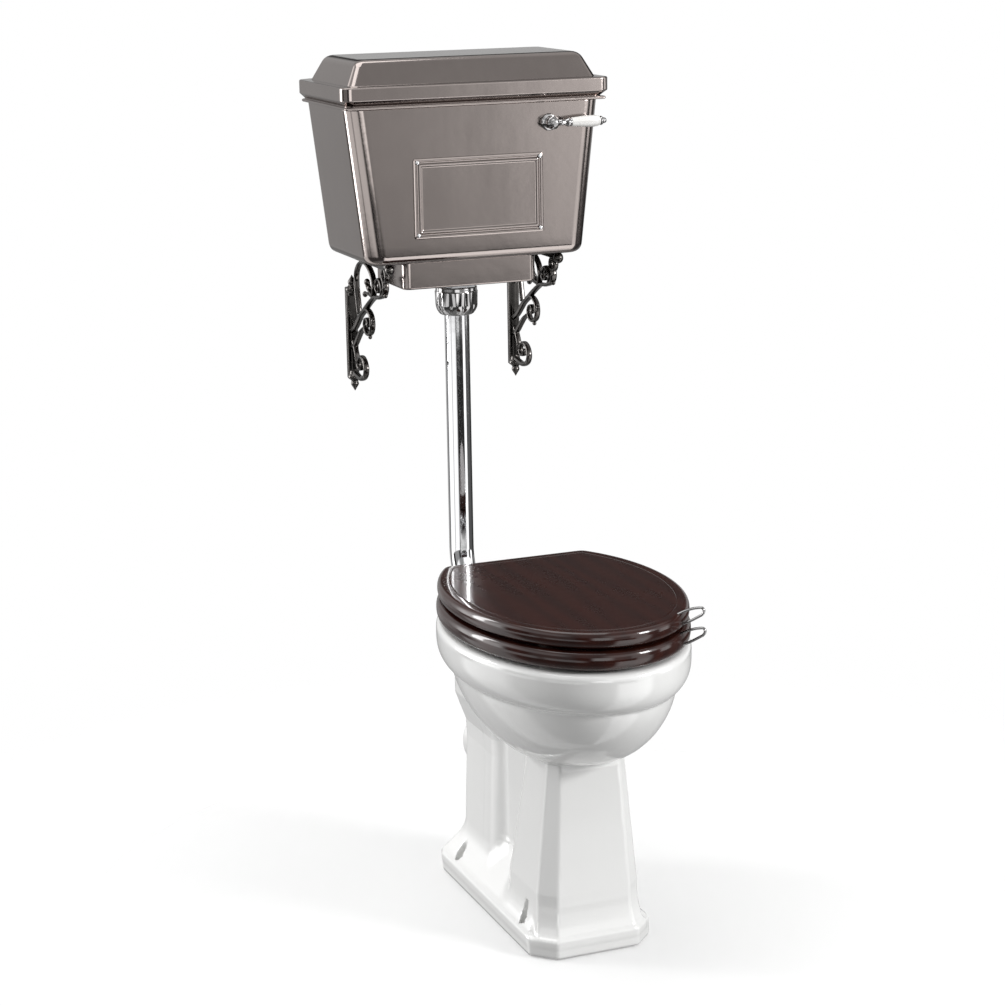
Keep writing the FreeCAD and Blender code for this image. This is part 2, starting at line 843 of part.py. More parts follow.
def rounded(name, base, choose):
    """Round chosen edges; the chooser gives each edge's radius, or zero."""
    doc.recompute()
    thing = doc.addObject("Part::Fillet", name)
    thing.Base = base
    radii = [(index, choose(edge)) for index, edge in enumerate(base.Shape.Edges, start=1)]
    thing.Edges = [(index, radius, radius) for index, radius in radii if radius]
    return thing


def board_edge(edge):
    """Give a seat board's edges their radii: upright rear corners, then the long edges."""
    upright = edge.BoundBox.ZLength > size.board_round and edge.BoundBox.YLength < size.board_round
    return size.board_corner if upright else size.board_round


def handle_place(grow, z):
    """Give the inner end of a handle, set into a board's edge at the front right."""
    x = f"(seat_half_width + {grow}) * sin(handle_angle) - handle_set * cos(handle_turn)"
    y = f"handle_set * sin(handle_turn) - seat_centre - (seat_half_length + {grow}) * cos(handle_angle)"
    return (x, y, z)


def handle_bore(name, grow, middle):
    """Make the two blind holes that take a handle's ends."""
    legs = []
    for end, side in (("low", "-"), ("high", "+")):
        legs.append(rod(f"{name}_{end}", ("0", "0", f"0 {side} handle_half"), "handle_wire + handle_fit",
                        "handle_set + handle_reach", ALONG_X))
    both = fuse(name, legs)
    return move(both, handle_place(grow, middle), Rotation(Vector(0, 0, 1), -size.handle_turn))


def make_handle(label, grow, middle):
    """Bend one wire loop handle, standing on edge."""
    pieces = []
    for end, side in (("low", "-"), ("high", "+")):
        pieces.append(rod(f"{label}_{end}", ("0", "0", f"0 {side} handle_half"), "handle_wire",
                          "handle_set + handle_reach", ALONG_X))
    bend = solid("Torus", label + "_bend", ("handle_set + handle_reach", "0", "0"),
                 Rotation(Vector(1, 1, 1), -120),
                 Radius1="handle_half", Radius2="handle_wire", Angle3="180")
    loop = fuse(label + "_loop", pieces + [bend])
    move(loop, handle_place(grow, middle), Rotation(Vector(0, 0, 1), -size.handle_turn))
    return node(loop, label)


RING_MIDDLE = "ring_base + ring_thick / 2"
LID_MIDDLE = "lid_base + lid_thick / 2"


def make_seat():
    """Build the seat ring and the lid with their handles and buffers."""
    outline = seat_board("ring_board", "ring_grow", "ring_base", "ring_thick")
    curve = solid("Ellipse", "ring_hole_curve", ("0", "-ring_hole_centre", "ring_base - overcut"),
                  Rotation(Vector(0, 0, 1), 90), MajorRadius="ring_hole_half_length",
                  MinorRadius="ring_hole_half_width")
    opening = doc.addObject("Part::Extrusion", "ring_hole")
    opening.Base = curve
    opening.Dir = Vector(0, 0, 1)
    opening.Solid = True
    opening.setExpression("LengthFwd", bind("ring_thick + 2 * overcut"))
    ring_soft = rounded("ring_soft", cut("ring_open", outline, opening), board_edge)
    node(cut("seat_ring_wood", ring_soft, handle_bore("ring_handle_bore", "ring_grow", RING_MIDDLE)),
         "seat_ring")
    lid_soft = rounded("lid_soft", seat_board("lid_board", "0", "lid_base", "lid_thick"), board_edge)
    node(cut("seat_lid_wood", lid_soft, handle_bore("lid_handle_bore", "0", LID_MIDDLE)), "seat_lid")
    make_handle("ring_handle", "ring_grow", RING_MIDDLE)
    make_handle("lid_handle", "0", LID_MIDDLE)
    for end in ("front", "rear"):
        for word, side in SIDES:
            x = f"{side} * buffer_track * seat_half_width * sin(buffer_{end}_angle)"
            y = f"-seat_centre - buffer_track * seat_half_length * cos(buffer_{end}_angle)"
            node(rod(f"ring_pad_{end}_{word}", (x, y, "pan_height"), "buffer_radius", "ring_buffer"),
                 f"ring_buffer_{end}_{word}")
            node(rod(f"lid_pad_{end}_{word}", (x, y, "ring_top"), "buffer_radius", "lid_buffer"),
                 f"lid_buffer_{end}_{word}")


def make_hinge_side(word, side):
    """Build one side's hinge pillar, pad, wing nut and straps."""
    x = f"{side} * hinge_half_spacing"
    stem = turned(f"pillar_stem_{word}", [
        ("0", "0"), ("stud_radius", "0"), ("stud_radius", "shelf_thick + stud_below + pad_thick"),
        ("pillar_flange", "shelf_thick + stud_below + pad_thick"),
        ("pillar_flange", "shelf_thick + stud_below + pad_thick + pillar_flange_thick"),
        ("pillar_radius", "shelf_thick + stud_below + pad_thick + pillar_flange_thick"),
        ("pillar_radius", "shelf_thick + stud_below + hinge_rise"),
        ("0", "shelf_thick + stud_below + hinge_rise"),
    ], (x, "hinge_y", "shelf_under - stud_below"))
    eye = rod(f"pillar_eye_{word}", (f"{x} - eye_width / 2", "hinge_y", "hinge_z"), "eye_radius",
              "eye_width", ALONG_X)
    bore = rod(f"pillar_bore_{word}", (f"{x} - eye_width", "hinge_y", "hinge_z"), "hinge_rod + hinge_fit",
               "2 * eye_width", ALONG_X)
    node(hollow(f"pillar_{word}", [stem, eye], [bore]), f"hinge_pillar_{word}")
    node(ring(f"pad_{word}", "stud_radius + thread_fit", "pillar_flange", "0", "pad_thick",
              (x, "hinge_y", "pan_height")), f"hinge_pad_{word}")
    nut_z = "shelf_under - wing_hub_height"
    hub = rod(f"wing_hub_{word}", (x, "hinge_y", nut_z), "wing_hub", "wing_hub_height")
    wings = block(f"wings_{word}", x, "hinge_y - wing_thick / 2", nut_z, "wing_span", "wing_thick",
                  "wing_hub_height")
    thread = rod(f"wing_thread_{word}", (x, "hinge_y", f"{nut_z} - overcut"), "stud_radius + thread_fit",
                 "wing_hub_height + 2 * overcut")
    node(hollow(f"wing_{word}", [hub, wings], [thread]), f"hinge_wing_nut_{word}")
    for board, plate_z, post_z, post_height in (
            ("ring", "ring_base - strap_thick", "ring_base - strap_thick", "hinge_z - ring_base + strap_thick"),
            ("lid", "lid_base - strap_thick", "hinge_z", "lid_base - hinge_z")):
        middle = f"{side} * {board}_strap_x"
        plate = block(f"{board}_plate_{word}", middle, "seat_rear - strap_length", plate_z, "strap_width",
                      "strap_length + hinge_y - seat_rear + strap_upright / 2", "strap_thick")
        post = block(f"{board}_post_{word}", middle, "hinge_y - strap_upright / 2", post_z, "strap_width",
                     "strap_upright", post_height)
        start = (f"{middle} - strap_width / 2", "hinge_y", "hinge_z")
        knuckle = rod(f"{board}_knuckle_{word}", start, "knuckle_radius", "strap_width", ALONG_X)
        hole = rod(f"{board}_knuckle_bore_{word}", (f"{middle} - strap_width", "hinge_y", "hinge_z"),
                   "hinge_rod + hinge_fit", "2 * strap_width", ALONG_X)
        node(hollow(f"{board}_hinge_{word}", [plate, post, knuckle], [hole]), f"{board}_strap_{word}")


def make_hinge():
    """Build the hinge rod with its end caps, and both sides."""
    half = "hinge_half_spacing + eye_width / 2 + hinge_cap_length"
    node(turned("hinge_bar", [
        ("0", "0"), ("hinge_cap", "0"), ("hinge_cap", "hinge_cap_length"), ("hinge_rod", "hinge_cap_length"),
        ("hinge_rod", "2 * hinge_half_spacing + eye_width + hinge_cap_length"),
        ("hinge_cap", "2 * hinge_half_spacing + eye_width + hinge_cap_length"),
        ("hinge_cap", "2 * hinge_half_spacing + eye_width + 2 * hinge_cap_length"),
        ("0", "2 * hinge_half_spacing + eye_width + 2 * hinge_cap_length"),
    ], (f"-({half})", "hinge_y", "hinge_z"), ALONG_X), "hinge_rod")
    for word, side in SIDES:
        make_hinge_side(word, side)


def make_flush_pipe():
    """Build the bent flush pipe, its collar, and the rubber cone in the pan."""
    end_y = "trunk_rear - pipe_entry"
    bend_y = "pipe_y - pipe_bend"
    bend_z = "flush_height + pipe_bend"
    parts = {}
    for layer, radius, extra in (("skin", "pipe_radius", "0"), ("bore", "pipe_radius - pipe_wall", "1")):
        level = rod(f"pipe_level_{layer}", ("0", f"{end_y} - {extra}", "flush_height"), radius,
                    f"{bend_y} - ({end_y}) + {extra}", ALONG_Y)
        bend = solid("Torus", f"pipe_bend_{layer}", ("0", bend_y, bend_z), ALONG_X,
                     Radius1="pipe_bend", Radius2=radius, Angle3="90")
        rise = rod(f"pipe_rise_{layer}", ("0", "pipe_y", bend_z), radius,
                   f"tail_end + pipe_entry - ({bend_z}) + {extra}")
        parts[layer] = [level, bend, rise]
    collar = rod("pipe_collar_ring", ("0", "pipe_y", "collar_base"), "pipe_collar", "pipe_collar_thick")
    node(hollow("pipe", parts["skin"] + [collar], parts["bore"]), "flush_pipe")
    shoulder = "cone_plug_length - pipe_entry"
    tip = "cone_plug_length - pipe_entry - cone_lip"
    node(turned("cone", [
        ("pipe_radius - cone_lip", tip), ("cone_plug", tip),
        ("cone_plug", "cone_plug_length"), ("cone_flange", "cone_plug_length"),
        ("cone_flange", "cone_plug_length + cone_flange_thick"),
        ("pipe_radius + cone_fit", "cone_plug_length + cone_flange_thick"),
        ("pipe_radius + cone_fit", shoulder), ("pipe_radius - cone_lip", shoulder),
    ], ("0", "trunk_rear - cone_plug_length", "flush_height"), ALONG_Y), "flush_cone")


def hex_nut(name, place, radius, height, bore, sides="nut_sides", turn=NO_TURN):
    """Make a many-sided nut with a plain bore."""
    outer = solid("Prism", name + "_sides", place, turn, Polygon=sides, Circumradius=radius, Height=height)
    return cut(name, outer, rod(name + "_bore", place, bore, height, turn))


def make_tail_fittings():
    """Build the nuts and the washer that join the siphon tail to the cistern and the flush pipe."""
    centre = ("0", "pipe_y")
    node(hex_nut("backnut", centre + ("plinth_base - backnut_thick",), "backnut_radius", "backnut_thick",
                 "tail_radius + thread_fit"), "tail_backnut")
    outer = solid("Prism", "pipe_nut_sides_body", centre + ("nut_base",), Polygon="pipe_nut_sides",
                  Circumradius="pipe_nut_radius", Height="pipe_nut_height")
    well = rod("pipe_nut_well", centre + ("collar_base",), "tail_radius + thread_fit", "pipe_nut_height")
    hole = rod("pipe_nut_hole", centre + ("nut_base - overcut",), "pipe_radius + pipe_fit", "pipe_nut_height")
    node(hollow("pipe_nut_body", [outer], [well, hole]), "pipe_nut")
    node(ring("tail_gasket", "tail_radius + thread_fit", "tail_flange", "0", "tail_washer_thick",
              centre + ("sump_floor",)), "tail_washer")


def tapered_block(name, half_low, half_high, low, high, near, far):
    """Pad a trapezium, narrower below, from the far Y value towards the front."""
    body = doc.addObject("PartDesign::Body", name)
    sketch = drawn(body, name + "_outline", [
        (half_low, low), (half_high, high), (f"-({half_high})", high), (f"-({half_low})", low)])
    pad = body.newObject("PartDesign::Pad", name + "_pad")
    pad.Profile = sketch
    pad.setExpression("Length", bind(f"{far} - ({near})"))
    move(body, ("0", far, "0"))
    doc.recompute()
    return body, pad


def round_body(body, feature, name, radius, chosen):
    """Round chosen edges of a body's feature."""
    doc.recompute()
    edges = [f"Edge{i}" for i, edge in enumerate(feature.Shape.Edges, start=1) if chosen(edge)]
    fillet = body.newObject("PartDesign::Fillet", name)
    fillet.Base = (feature, edges)
    fillet.setExpression("Radius", bind(radius))
    doc.recompute()
    return fillet


def rounded_tank(name, inset, low, high, corner, base_round):
    """Make a tank form with rounded upright corners and a rounded bottom edge."""
    half_low = f"tank_base_width / 2 - ({inset})"
    half_high = f"tank_top_width / 2 - ({inset})"
    body, pad = tapered_block(name, half_low, half_high, low, high,
                              f"tank_front + {inset}", f"wall_y - ({inset})")
    corners = round_body(body, pad, name + "_corners", corner,
                         lambda edge: edge.BoundBox.ZLength > size.tank_corner)
    floor = pad.Shape.BoundBox.ZMin
    round_body(body, corners, name + "_floor", base_round,
               lambda edge: edge.BoundBox.ZMax < floor + size.overcut)
    return body


def make_tank():
    """Build the cistern with its sump, inlet boss and holes."""
    shell = rounded_tank("tank_shell", "0", "tank_base", "tank_top", "tank_corner", "tank_base_round")
    room = rounded_tank("tank_room", "tank_wall", "tank_base + tank_wall", "tank_top + overcut",
                        "tank_corner - tank_wall", "tank_base_round - tank_wall")
    sump = block("sump", "0", "pipe_y - plinth_depth / 2", "plinth_base", "plinth_width", "plinth_depth",
                 "plinth_height + tank_wall")
    sump_soft = rounded("sump_soft", sump, lambda edge: size.plinth_corner if edge.BoundBox.ZLength > 1 else 0)
    well = block("sump_well", "0", "pipe_y - plinth_depth / 2 + tank_wall", "sump_floor",
                 "plinth_width - 2 * tank_wall", "plinth_depth - 2 * tank_wall", "plinth_height + tank_wall")
    boss = rod("inlet_boss", ("boss_face_in", "valve_y", "valve_z"), "boss_radius",
               "boss_inside + boss_outside",
               ALONG_X)
    walls = hollow("tank_walls", [shell, sump_soft], [room, well])
    holes = [
        rod("inlet_hole", ("boss_face_in - overcut", "valve_y", "valve_z"), "inlet_radius + pipe_fit",
            "boss_inside + boss_outside + 2 * overcut", ALONG_X),
        rod("tail_hole", ("0", "pipe_y", "plinth_base - overcut"), "tail_radius + pipe_fit",
            "plinth_floor + 2 * overcut"),
        rod("lever_hole", ("lever_x", "tank_front - overcut", "lever_z"), "bush_radius + pipe_fit",
            "tank_wall + 2 * overcut", ALONG_Y),
    ]
    node(hollow("tank", [walls, boss], holes), "cistern_tank")


def make_plaque():
    """Build the framed plaque and its four rivets."""
    front = "tank_front - plaque_thick"
    plate = block("plaque_plate", "0", front, "plaque_middle - plaque_height / 2", "plaque_width",
                  "plaque_thick",
                  "plaque_height")
    field = block("plaque_field", "0", front, "plaque_middle - plaque_height / 2 + plaque_border",
                  "plaque_width - 2 * plaque_border", "plaque_recess", "plaque_height - 2 * plaque_border")
    node(cut("plaque_body", plate, field), "plaque")
    for level, up in (("low", -1), ("high", 1)):
        for word, side in SIDES:
            x = f"{side} * (plaque_width / 2 - rivet_inset)"
            z = f"plaque_middle + {up} * (plaque_height / 2 - rivet_inset)"
            node(rod(f"rivet_{level}_{word}", (x, f"{front} - rivet_proud", z), "rivet_radius", "rivet_proud",
                     ALONG_Y), f"plaque_rivet_{level}_{word}")


def make_cover():
    """Build the hipped cistern lid with its moulded edge and locating lip."""
    cove = wedge("cove", "cove_base", "cove_height",
                 ("cover_half - cove_reach", "cover_front + cove_reach", "wall_y"),
                 ("cover_half", "cover_front", "wall_y"))
    band = block("band", "0", "cover_front", "band_base", "2 * cover_half", "wall_y - cover_front",
                 "band_height")
    low = ("cover_half - hip_inset", "cover_front + hip_inset", "wall_y - hip_inset")
    high = ("cover_half - hip_inset - hip_slope", "cover_front + hip_inset + hip_slope",
            "wall_y - hip_inset - hip_slope")
    hip = wedge("hip", "band_top", "hip_height", low, high)
    room_low = ("tank_top_width / 2 - cover_ledge", "tank_front + cover_ledge", "wall_y - cover_ledge")
    room_high = ("tank_top_width / 2 - cover_ledge - cover_roof_slope",
                 "tank_front + cover_ledge + cover_roof_slope", "wall_y - cover_ledge - cover_roof_slope")
    room = wedge("cover_room", "cove_base - overcut", "cover_top - cove_base + overcut - cover_roof",
                 room_low, room_high)
    gap = "tank_wall + lip_gap"
    lip_outer = block("lip_outer", "0", f"tank_front + {gap}", "cove_base - lip_drop",
                      f"tank_top_width - 2 * ({gap})",
                      f"tank_depth - 2 * ({gap})", "lip_drop + overcut")
    inner_gap = "tank_wall + lip_gap + lip_thick"
    lip_inner = block("lip_inner", "0", f"tank_front + {inner_gap}", "cove_base - lip_drop - overcut",
                      f"tank_top_width - 2 * ({inner_gap})", f"tank_depth - 2 * ({inner_gap})",
                      "lip_drop + 3 * overcut")
    lip_soft = rounded("lip_soft", lip_outer,
                       lambda edge: size.tank_corner - size.tank_wall if edge.BoundBox.ZLength > 1 else 0)
    lip = cut("lip", lip_soft, lip_inner)
    roof = hollow("cover_roof_shell", [cove, band, hip], [room])
    node(fuse("cover", [roof, lip]), "cistern_lid")


def band_arc(name, y, z, radius, start, sweep, thick):
    """Make one flat scroll stretch in the YZ plane, as part of a round band."""
    turn = Rotation(Vector(1, 0, 0), start).multiply(Rotation(Vector(1, 1, 1), 120))
    place = (f"-bracket_x - {thick} / 2", y, z)
    outer = solid("Cylinder", name + "_outer", place, turn, Radius=f"{radius} + scroll_band / 2", Height=thick,
                  Angle=str(sweep))
    inner = rod(name + "_inner", place, f"{radius} - scroll_band / 2", thick, turn)
    return cut(name, outer, inner)


def make_bracket():
    """Build the left bracket from its wall bar, arm and scrolls, and mirror it to the right."""
    x = "-bracket_x"
    bar = block("bar", x, "wall_y - bar_thick", "bar_low", "bar_width", "bar_thick", "bar_high - bar_low")
    pieces = [bar]
    for end, z, up in (("low", "bar_low", -1), ("high", "bar_high", 1)):
        place = (x, "wall_y - collar_radius", f"{z} - collar_thick / 2")
        pieces.append(rod(f"bar_collar_{end}", place, "collar_radius", "collar_thick"))
        turn = NO_TURN if up > 0 else Rotation(Vector(1, 0, 0), 180)
        pieces.append(solid("Cone", f"finial_{end}", (x, "wall_y - collar_radius", z), turn,
                            Radius1="finial_radius",
                            Radius2="finial_tip", Height="finial_length"))
    pieces.append(band_arc("arch", "arm_y", "arch_z", "arch_radius", 0, 90, "scroll_thick"))
    pieces.append(block("arm", x, "arm_front", "tank_base - arm_thick", "scroll_thick", "arm_y - arm_front",
                        "arm_thick"))
    pieces.append(solid("Sphere", "knob", (x, "arm_front", "tank_base - knob_drop"), Radius="knob_radius"))
    pieces.append(band_arc("brace", "wall_y - bar_thick", "arm_mid", "brace_radius", 180, 90, "scroll_thick"))
    bar_face = "wall_y - bar_thick"
    corner_reach = "(arch_radius - curl_radius - scroll_band / 2) * cos(45)"
    for curl, y, z, radius in (
            ("corner", f"arm_y + {corner_reach}", f"arch_z + {corner_reach}", "curl_radius"),
            ("front", "arm_front + front_curl", "tank_base - arm_thick - front_curl", "front_curl"),
            ("foot", f"{bar_face} - curl_radius", "foot_curl_z", "curl_radius")):
        pieces.append(band_arc(f"curl_{curl}", y, z, radius, 0, 360, "scroll_thick"))
    holes = []
    for level in ("low", "high"):
        holes.append(rod(f"screw_{level}",
                         (x, "wall_y - 2 * collar_radius - overcut", f"wall_screw_{level}"), "wall_screw",
                         "2 * collar_radius + 2 * overcut", ALONG_Y))
    bracket = node(hollow("bracket", pieces, holes), "bracket_left")
    twin = doc.addObject("Part::Mirroring", "bracket_twin")
    twin.Source = bracket
    twin.Normal = Vector(1, 0, 0)
    node(twin, "bracket_right")


def make_lever():
    """Build the flush lever from its rosette to the crank inside the cistern."""
    axis = ("lever_x", "tank_front - rosette_thick", "lever_z")
    bore = "spindle_radius + spindle_fit"
    node(turned("rosette", [
        (bore, "0"), ("rosette_face", "0"), ("rosette_radius", "rosette_thick - rosette_edge"),
        ("rosette_radius", "rosette_thick"), ("bush_radius", "rosette_thick"),
        ("bush_radius", "rosette_thick + bush_length"), (bore, "rosette_thick + bush_length"),
    ], axis, ALONG_Y), "lever_rosette")
    node(hex_nut("locknut", ("lever_x", "tank_front + tank_wall", "lever_z"), "locknut_radius", "locknut_thick",
                 "bush_radius + thread_fit", turn=ALONG_Y), "lever_locknut")
    crank_back = "pipe_y - link_thick / 2 - crank_gap"
    node(rod("spindle", ("lever_x", "hub_y", "lever_z"), "spindle_radius", f"{crank_back} - hub_y", ALONG_Y),
         "lever_spindle")
    hub = turned("hub_form", [
        ("0", "0"), ("hub_nose", "0"), ("hub_radius", "hub_nose_length"),
        ("hub_radius", "hub_length - hub_back_length"),
        ("hub_back", "hub_length"), ("0", "hub_length"),
    ], ("lever_x", "hub_y - hub_length / 2", "lever_z"), ALONG_Y)
    socket = rod("hub_socket", ("lever_x", "hub_y", "lever_z"), "spindle_radius", "hub_length", ALONG_Y)
    flat = block("hub_flat", "lever_x + 2 * hub_radius - hub_flat", "hub_y - hub_length",
                 "lever_z - hub_length",
                 "2 * hub_radius", "2 * hub_length", "2 * hub_length")
    node(hollow("hub", [hub], [socket, flat]), "lever_hub")
    start = ("lever_x + hub_radius - hub_flat", "hub_y", "lever_z")
    node(turned("ferrule", [
        ("0", "0"), ("ferrule_radius", "0"),
        ("ferrule_radius", "ferrule_length - ferrule_collar_length - ferrule_flare"),
        ("ferrule_collar", "ferrule_length - ferrule_collar_length"), ("ferrule_collar", "ferrule_length"),
        ("0", "ferrule_length"),
    ], start, ALONG_X), "lever_ferrule")
    node(turned("grip", [
        ("0", "0"), ("grip_thin", "0"), ("grip_thick", "grip_belly"),
        ("grip_shoulder", "grip_length - grip_shoulder_length"), ("grip_thin", "grip_length"),
        ("0", "grip_length"),
    ], ("grip_x", "hub_y", "lever_z"), ALONG_X), "lever_grip")
    node(turned("tip", [
        ("0", "0"), ("tip_seat", "0"), ("tip_radius", "tip_bead"), ("tip_end", "tip_length"),
        ("0", "tip_length"),
    ], ("grip_x + grip_length", "hub_y", "lever_z"), ALONG_X), "lever_tip")
    lean = Rotation(Vector(0, 1, 0), -size.crank_rest)
    boss = rod("crank_boss", ("0", "0", "0"), "crank_boss", "crank_thick", ALONG_Y)
    bar = solid("Box", "crank_bar", ("-crank_reach", "0", "-crank_height / 2"), Length="crank_reach",
                Width="crank_thick", Height="crank_height")
    eye = rod("crank_eye", ("-crank_reach", "0", "0"), "crank_height / 2", "crank_thick", ALONG_Y)
    pin = rod("crank_peg", ("-crank_reach", "0", "0"), "crank_pin", "crank_thick + crank_pin_length", ALONG_Y)
    hole = rod("crank_bore", ("0", "-overcut", "0"), "spindle_radius", "crank_thick + 2 * overcut", ALONG_Y)
    crank = hollow("crank", [boss, bar, eye, pin], [hole])
    move(crank, ("lever_x", f"{crank_back} - crank_thick", "lever_z"), lean)
    node(crank, "lever_crank")


def make_siphon():
    """Build the siphon: tail, down leg, bridge and bell chamber, with its plunger, flap and lift link."""
    leg = ("0", "pipe_y")
    bell = ("siphon_x", "pipe_y")
    outers = [
        rod("tail", leg + ("tail_end",), "tail_radius", "flange_top - tail_end"),
        rod("flange", leg + ("flange_base",), "tail_flange", "tail_flange_thick"),
        rod("leg", leg + ("flange_base",), "leg_radius", "bridge_top - flange_base"),
        rod("bell", bell + ("chamber_base",), "chamber_radius", "chamber_top - chamber_base"),
        block("bridge", "siphon_x / 2", "pipe_y - leg_radius", "bridge_base", "siphon_x", "2 * leg_radius",
              "bridge_height"),
        rod("bell_neck", bell + ("bridge_base",), "leg_radius", "bridge_height"),
    ]
    inners = [
        rod("leg_bore", leg + ("tail_end - overcut",), "tail_bore",
            "bridge_top - siphon_wall - tail_end + overcut"),
        rod("bell_bore", bell + ("chamber_base - overcut",), "bore_radius",
            "chamber_height - siphon_wall + overcut"),
        block("bridge_bore", "siphon_x / 2", "pipe_y - tail_bore", "bridge_base + siphon_wall", "siphon_x",
              "2 * tail_bore", "bridge_height - 2 * siphon_wall"),
        rod("neck_bore", bell + ("bridge_base",), "tail_bore", "bridge_height - siphon_wall"),
        rod("rod_guide", bell + ("bridge_base",), "rod_radius + rod_fit", "bridge_height + overcut"),
    ]
    node(hollow("siphon", outers, inners), "siphon_body")
    node(turned("plunger", [
        ("0", "0"), ("bore_radius - plunger_gap", "0"), ("bore_radius - plunger_gap", "plunger_thick"),
        ("rod_radius", "plunger_thick"), ("rod_radius", "link_base - plunger_base"),
        ("0", "link_base - plunger_base"),
    ], bell + ("plunger_base",)), "siphon_plunger")
    node(ring("flap", "rod_radius + thread_fit", "bore_radius - plunger_gap - flap_inset", "0", "flap_thick",
              bell + ("flap_base",)), "siphon_flap")
    plate = block("link_plate", "siphon_x", "pipe_y - link_thick / 2", "link_base", "link_width", "link_thick",
                  "link_width + link_over")
    slot = block("link_slot", "siphon_x", "pipe_y - link_thick", "crank_pin_z - crank_pin - link_play",
                 "2 * (crank_pin + link_sway)", "2 * link_thick", "2 * (crank_pin + link_play)")
    node(cut("link", plate, slot), "lift_link")


def make_valve():
    """Build the side entry float valve with its piston, arm and float."""
    axis = ("valve_y", "valve_z")
    neck_x = "boss_face_out + valve_nut_thick + inlet_neck_gap"
    outers = [
        rod("barrel", ("barrel_end",) + axis, "barrel_radius", "barrel_length", ALONG_X),
        rod("valve_collar", ("valve_flange_x",) + axis, "valve_flange", "valve_flange_thick", ALONG_X),
        rod("inlet", ("valve_flange_x",) + axis, "inlet_radius", f"{neck_x} - valve_flange_x", ALONG_X),
        rod("inlet_groove", (neck_x,) + axis, "inlet_neck", "inlet_neck_length", ALONG_X),
        rod("inlet_end", (f"{neck_x} + inlet_neck_length",) + axis, "inlet_radius",
            "inlet_length - valve_nut_thick - inlet_neck_gap - inlet_neck_length", ALONG_X),
        block("lug", "pivot_x", "valve_y - lug_width / 2", "pivot_z - lug_depth", "lug_length", "lug_width",
              "pivot_drop + lug_depth - barrel_radius / 2"),
    ]
    bore_length = "piston_length + piston_room"
    inners = [
        rod("piston_bore", ("barrel_end - overcut",) + axis, "piston_radius + piston_fit",
            f"{bore_length} + overcut", ALONG_X),
        rod("water_bore", ("barrel_end",) + axis, "waterway",
            "boss_face_out + inlet_length - barrel_end + overcut", ALONG_X),
        solid("Box", "arm_slot",
              ("barrel_end - overcut", "valve_y - slot_width / 2", "pivot_z - lug_depth - overcut"),
              Length="2 * pivot_in + overcut", Width="slot_width", Height="pivot_drop + lug_depth + overcut"),
        rod("pivot_hole", ("pivot_x", "valve_y - lug_width", "pivot_z"), "pin_radius + pin_fit",
            "2 * lug_width",
            ALONG_Y),
    ]
    node(hollow("valve", outers, inners), "valve_body")
    node(hex_nut("valve_nut", ("boss_face_out",) + axis, "valve_nut_radius", "valve_nut_thick",
                 "inlet_radius + thread_fit", turn=ALONG_X), "valve_backnut")
    slider = rod("piston_bar", ("barrel_end + overcut - piston_open",) + axis, "piston_radius",
                 "piston_length", ALONG_X)
    notch = block("piston_notch", "pivot_x - piston_open", "valve_y - slot_width / 2",
                  "valve_z - 2 * piston_radius",
                  "2 * piston_slot", "slot_width", "2 * piston_radius + arm_tip_over + overcut")
    node(cut("piston", slider, notch), "valve_piston")
    node(rod("arm_pivot", ("pivot_x", "valve_y - lug_width / 2", "pivot_z"), "pin_radius", "lug_width",
             ALONG_Y),
         "arm_pin")
    pivot = ("pivot_x", "valve_y", "pivot_z")
    drop = Rotation(Vector(0, 1, 0), -size.float_drop)
    half = "arm_plate / 2"
    tip = block("arm_tip_bar", "0", f"-{half}", "0", "arm_tip", "arm_plate", "pivot_drop + arm_tip_over")
    hub = rod("arm_hub_disc", ("0", f"-{half}", "0"), "arm_hub", "arm_plate", ALONG_Y)
    stem = rod("arm_stem", ("float_radius - arm_length", "0", "0"), "arm_rod", "arm_length - float_radius",
               ALONG_X)
    hole = rod("arm_hole", ("0", "-arm_plate", "0"), "pin_radius + pin_fit", "2 * arm_plate", ALONG_Y)
    node(move(hollow("arm_body", [tip, hub, stem], [hole]), pivot, drop), "float_arm")
    ball = solid("Sphere", "ball", ("-arm_length", "0", "0"), Radius="float_radius")
    seat = rod("ball_seat", ("float_radius - arm_length - float_seat_depth", "0", "0"), "float_seat",
               "float_radius",
               ALONG_X)
    node(move(cut("ball_body", ball, seat), pivot, drop), "float_ball")


make_seat()
make_hinge()
make_flush_pipe()
make_tail_fittings()
make_tank()
make_plaque()
make_cover()
make_bracket()
make_lever()
make_siphon()
make_valve()
doc.recompute()

for thing in doc.Objects:
    if {"Invalid", "Error"} & set(thing.State):
        raise RuntimeError(f"{thing.Name} did not build: {thing.State}")

os.makedirs("parts", exist_ok=True)
for thing in nodes:
    if thing.Shape.isNull() or not thing.Shape.isValid():
        raise RuntimeError(f"{thing.Label} has no valid shape")
    thing.Shape.exportStep(os.path.join("parts", thing.Label + ".step"))
print(len(nodes), "sub-parts written")
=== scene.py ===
"""Looks of the low level toilet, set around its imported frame."""

import logging
import math
from dataclasses import dataclass
from enum import Enum
from typing import Any, Sequence

import bpy
import numpy as np
from mathutils import Matrix, Vector


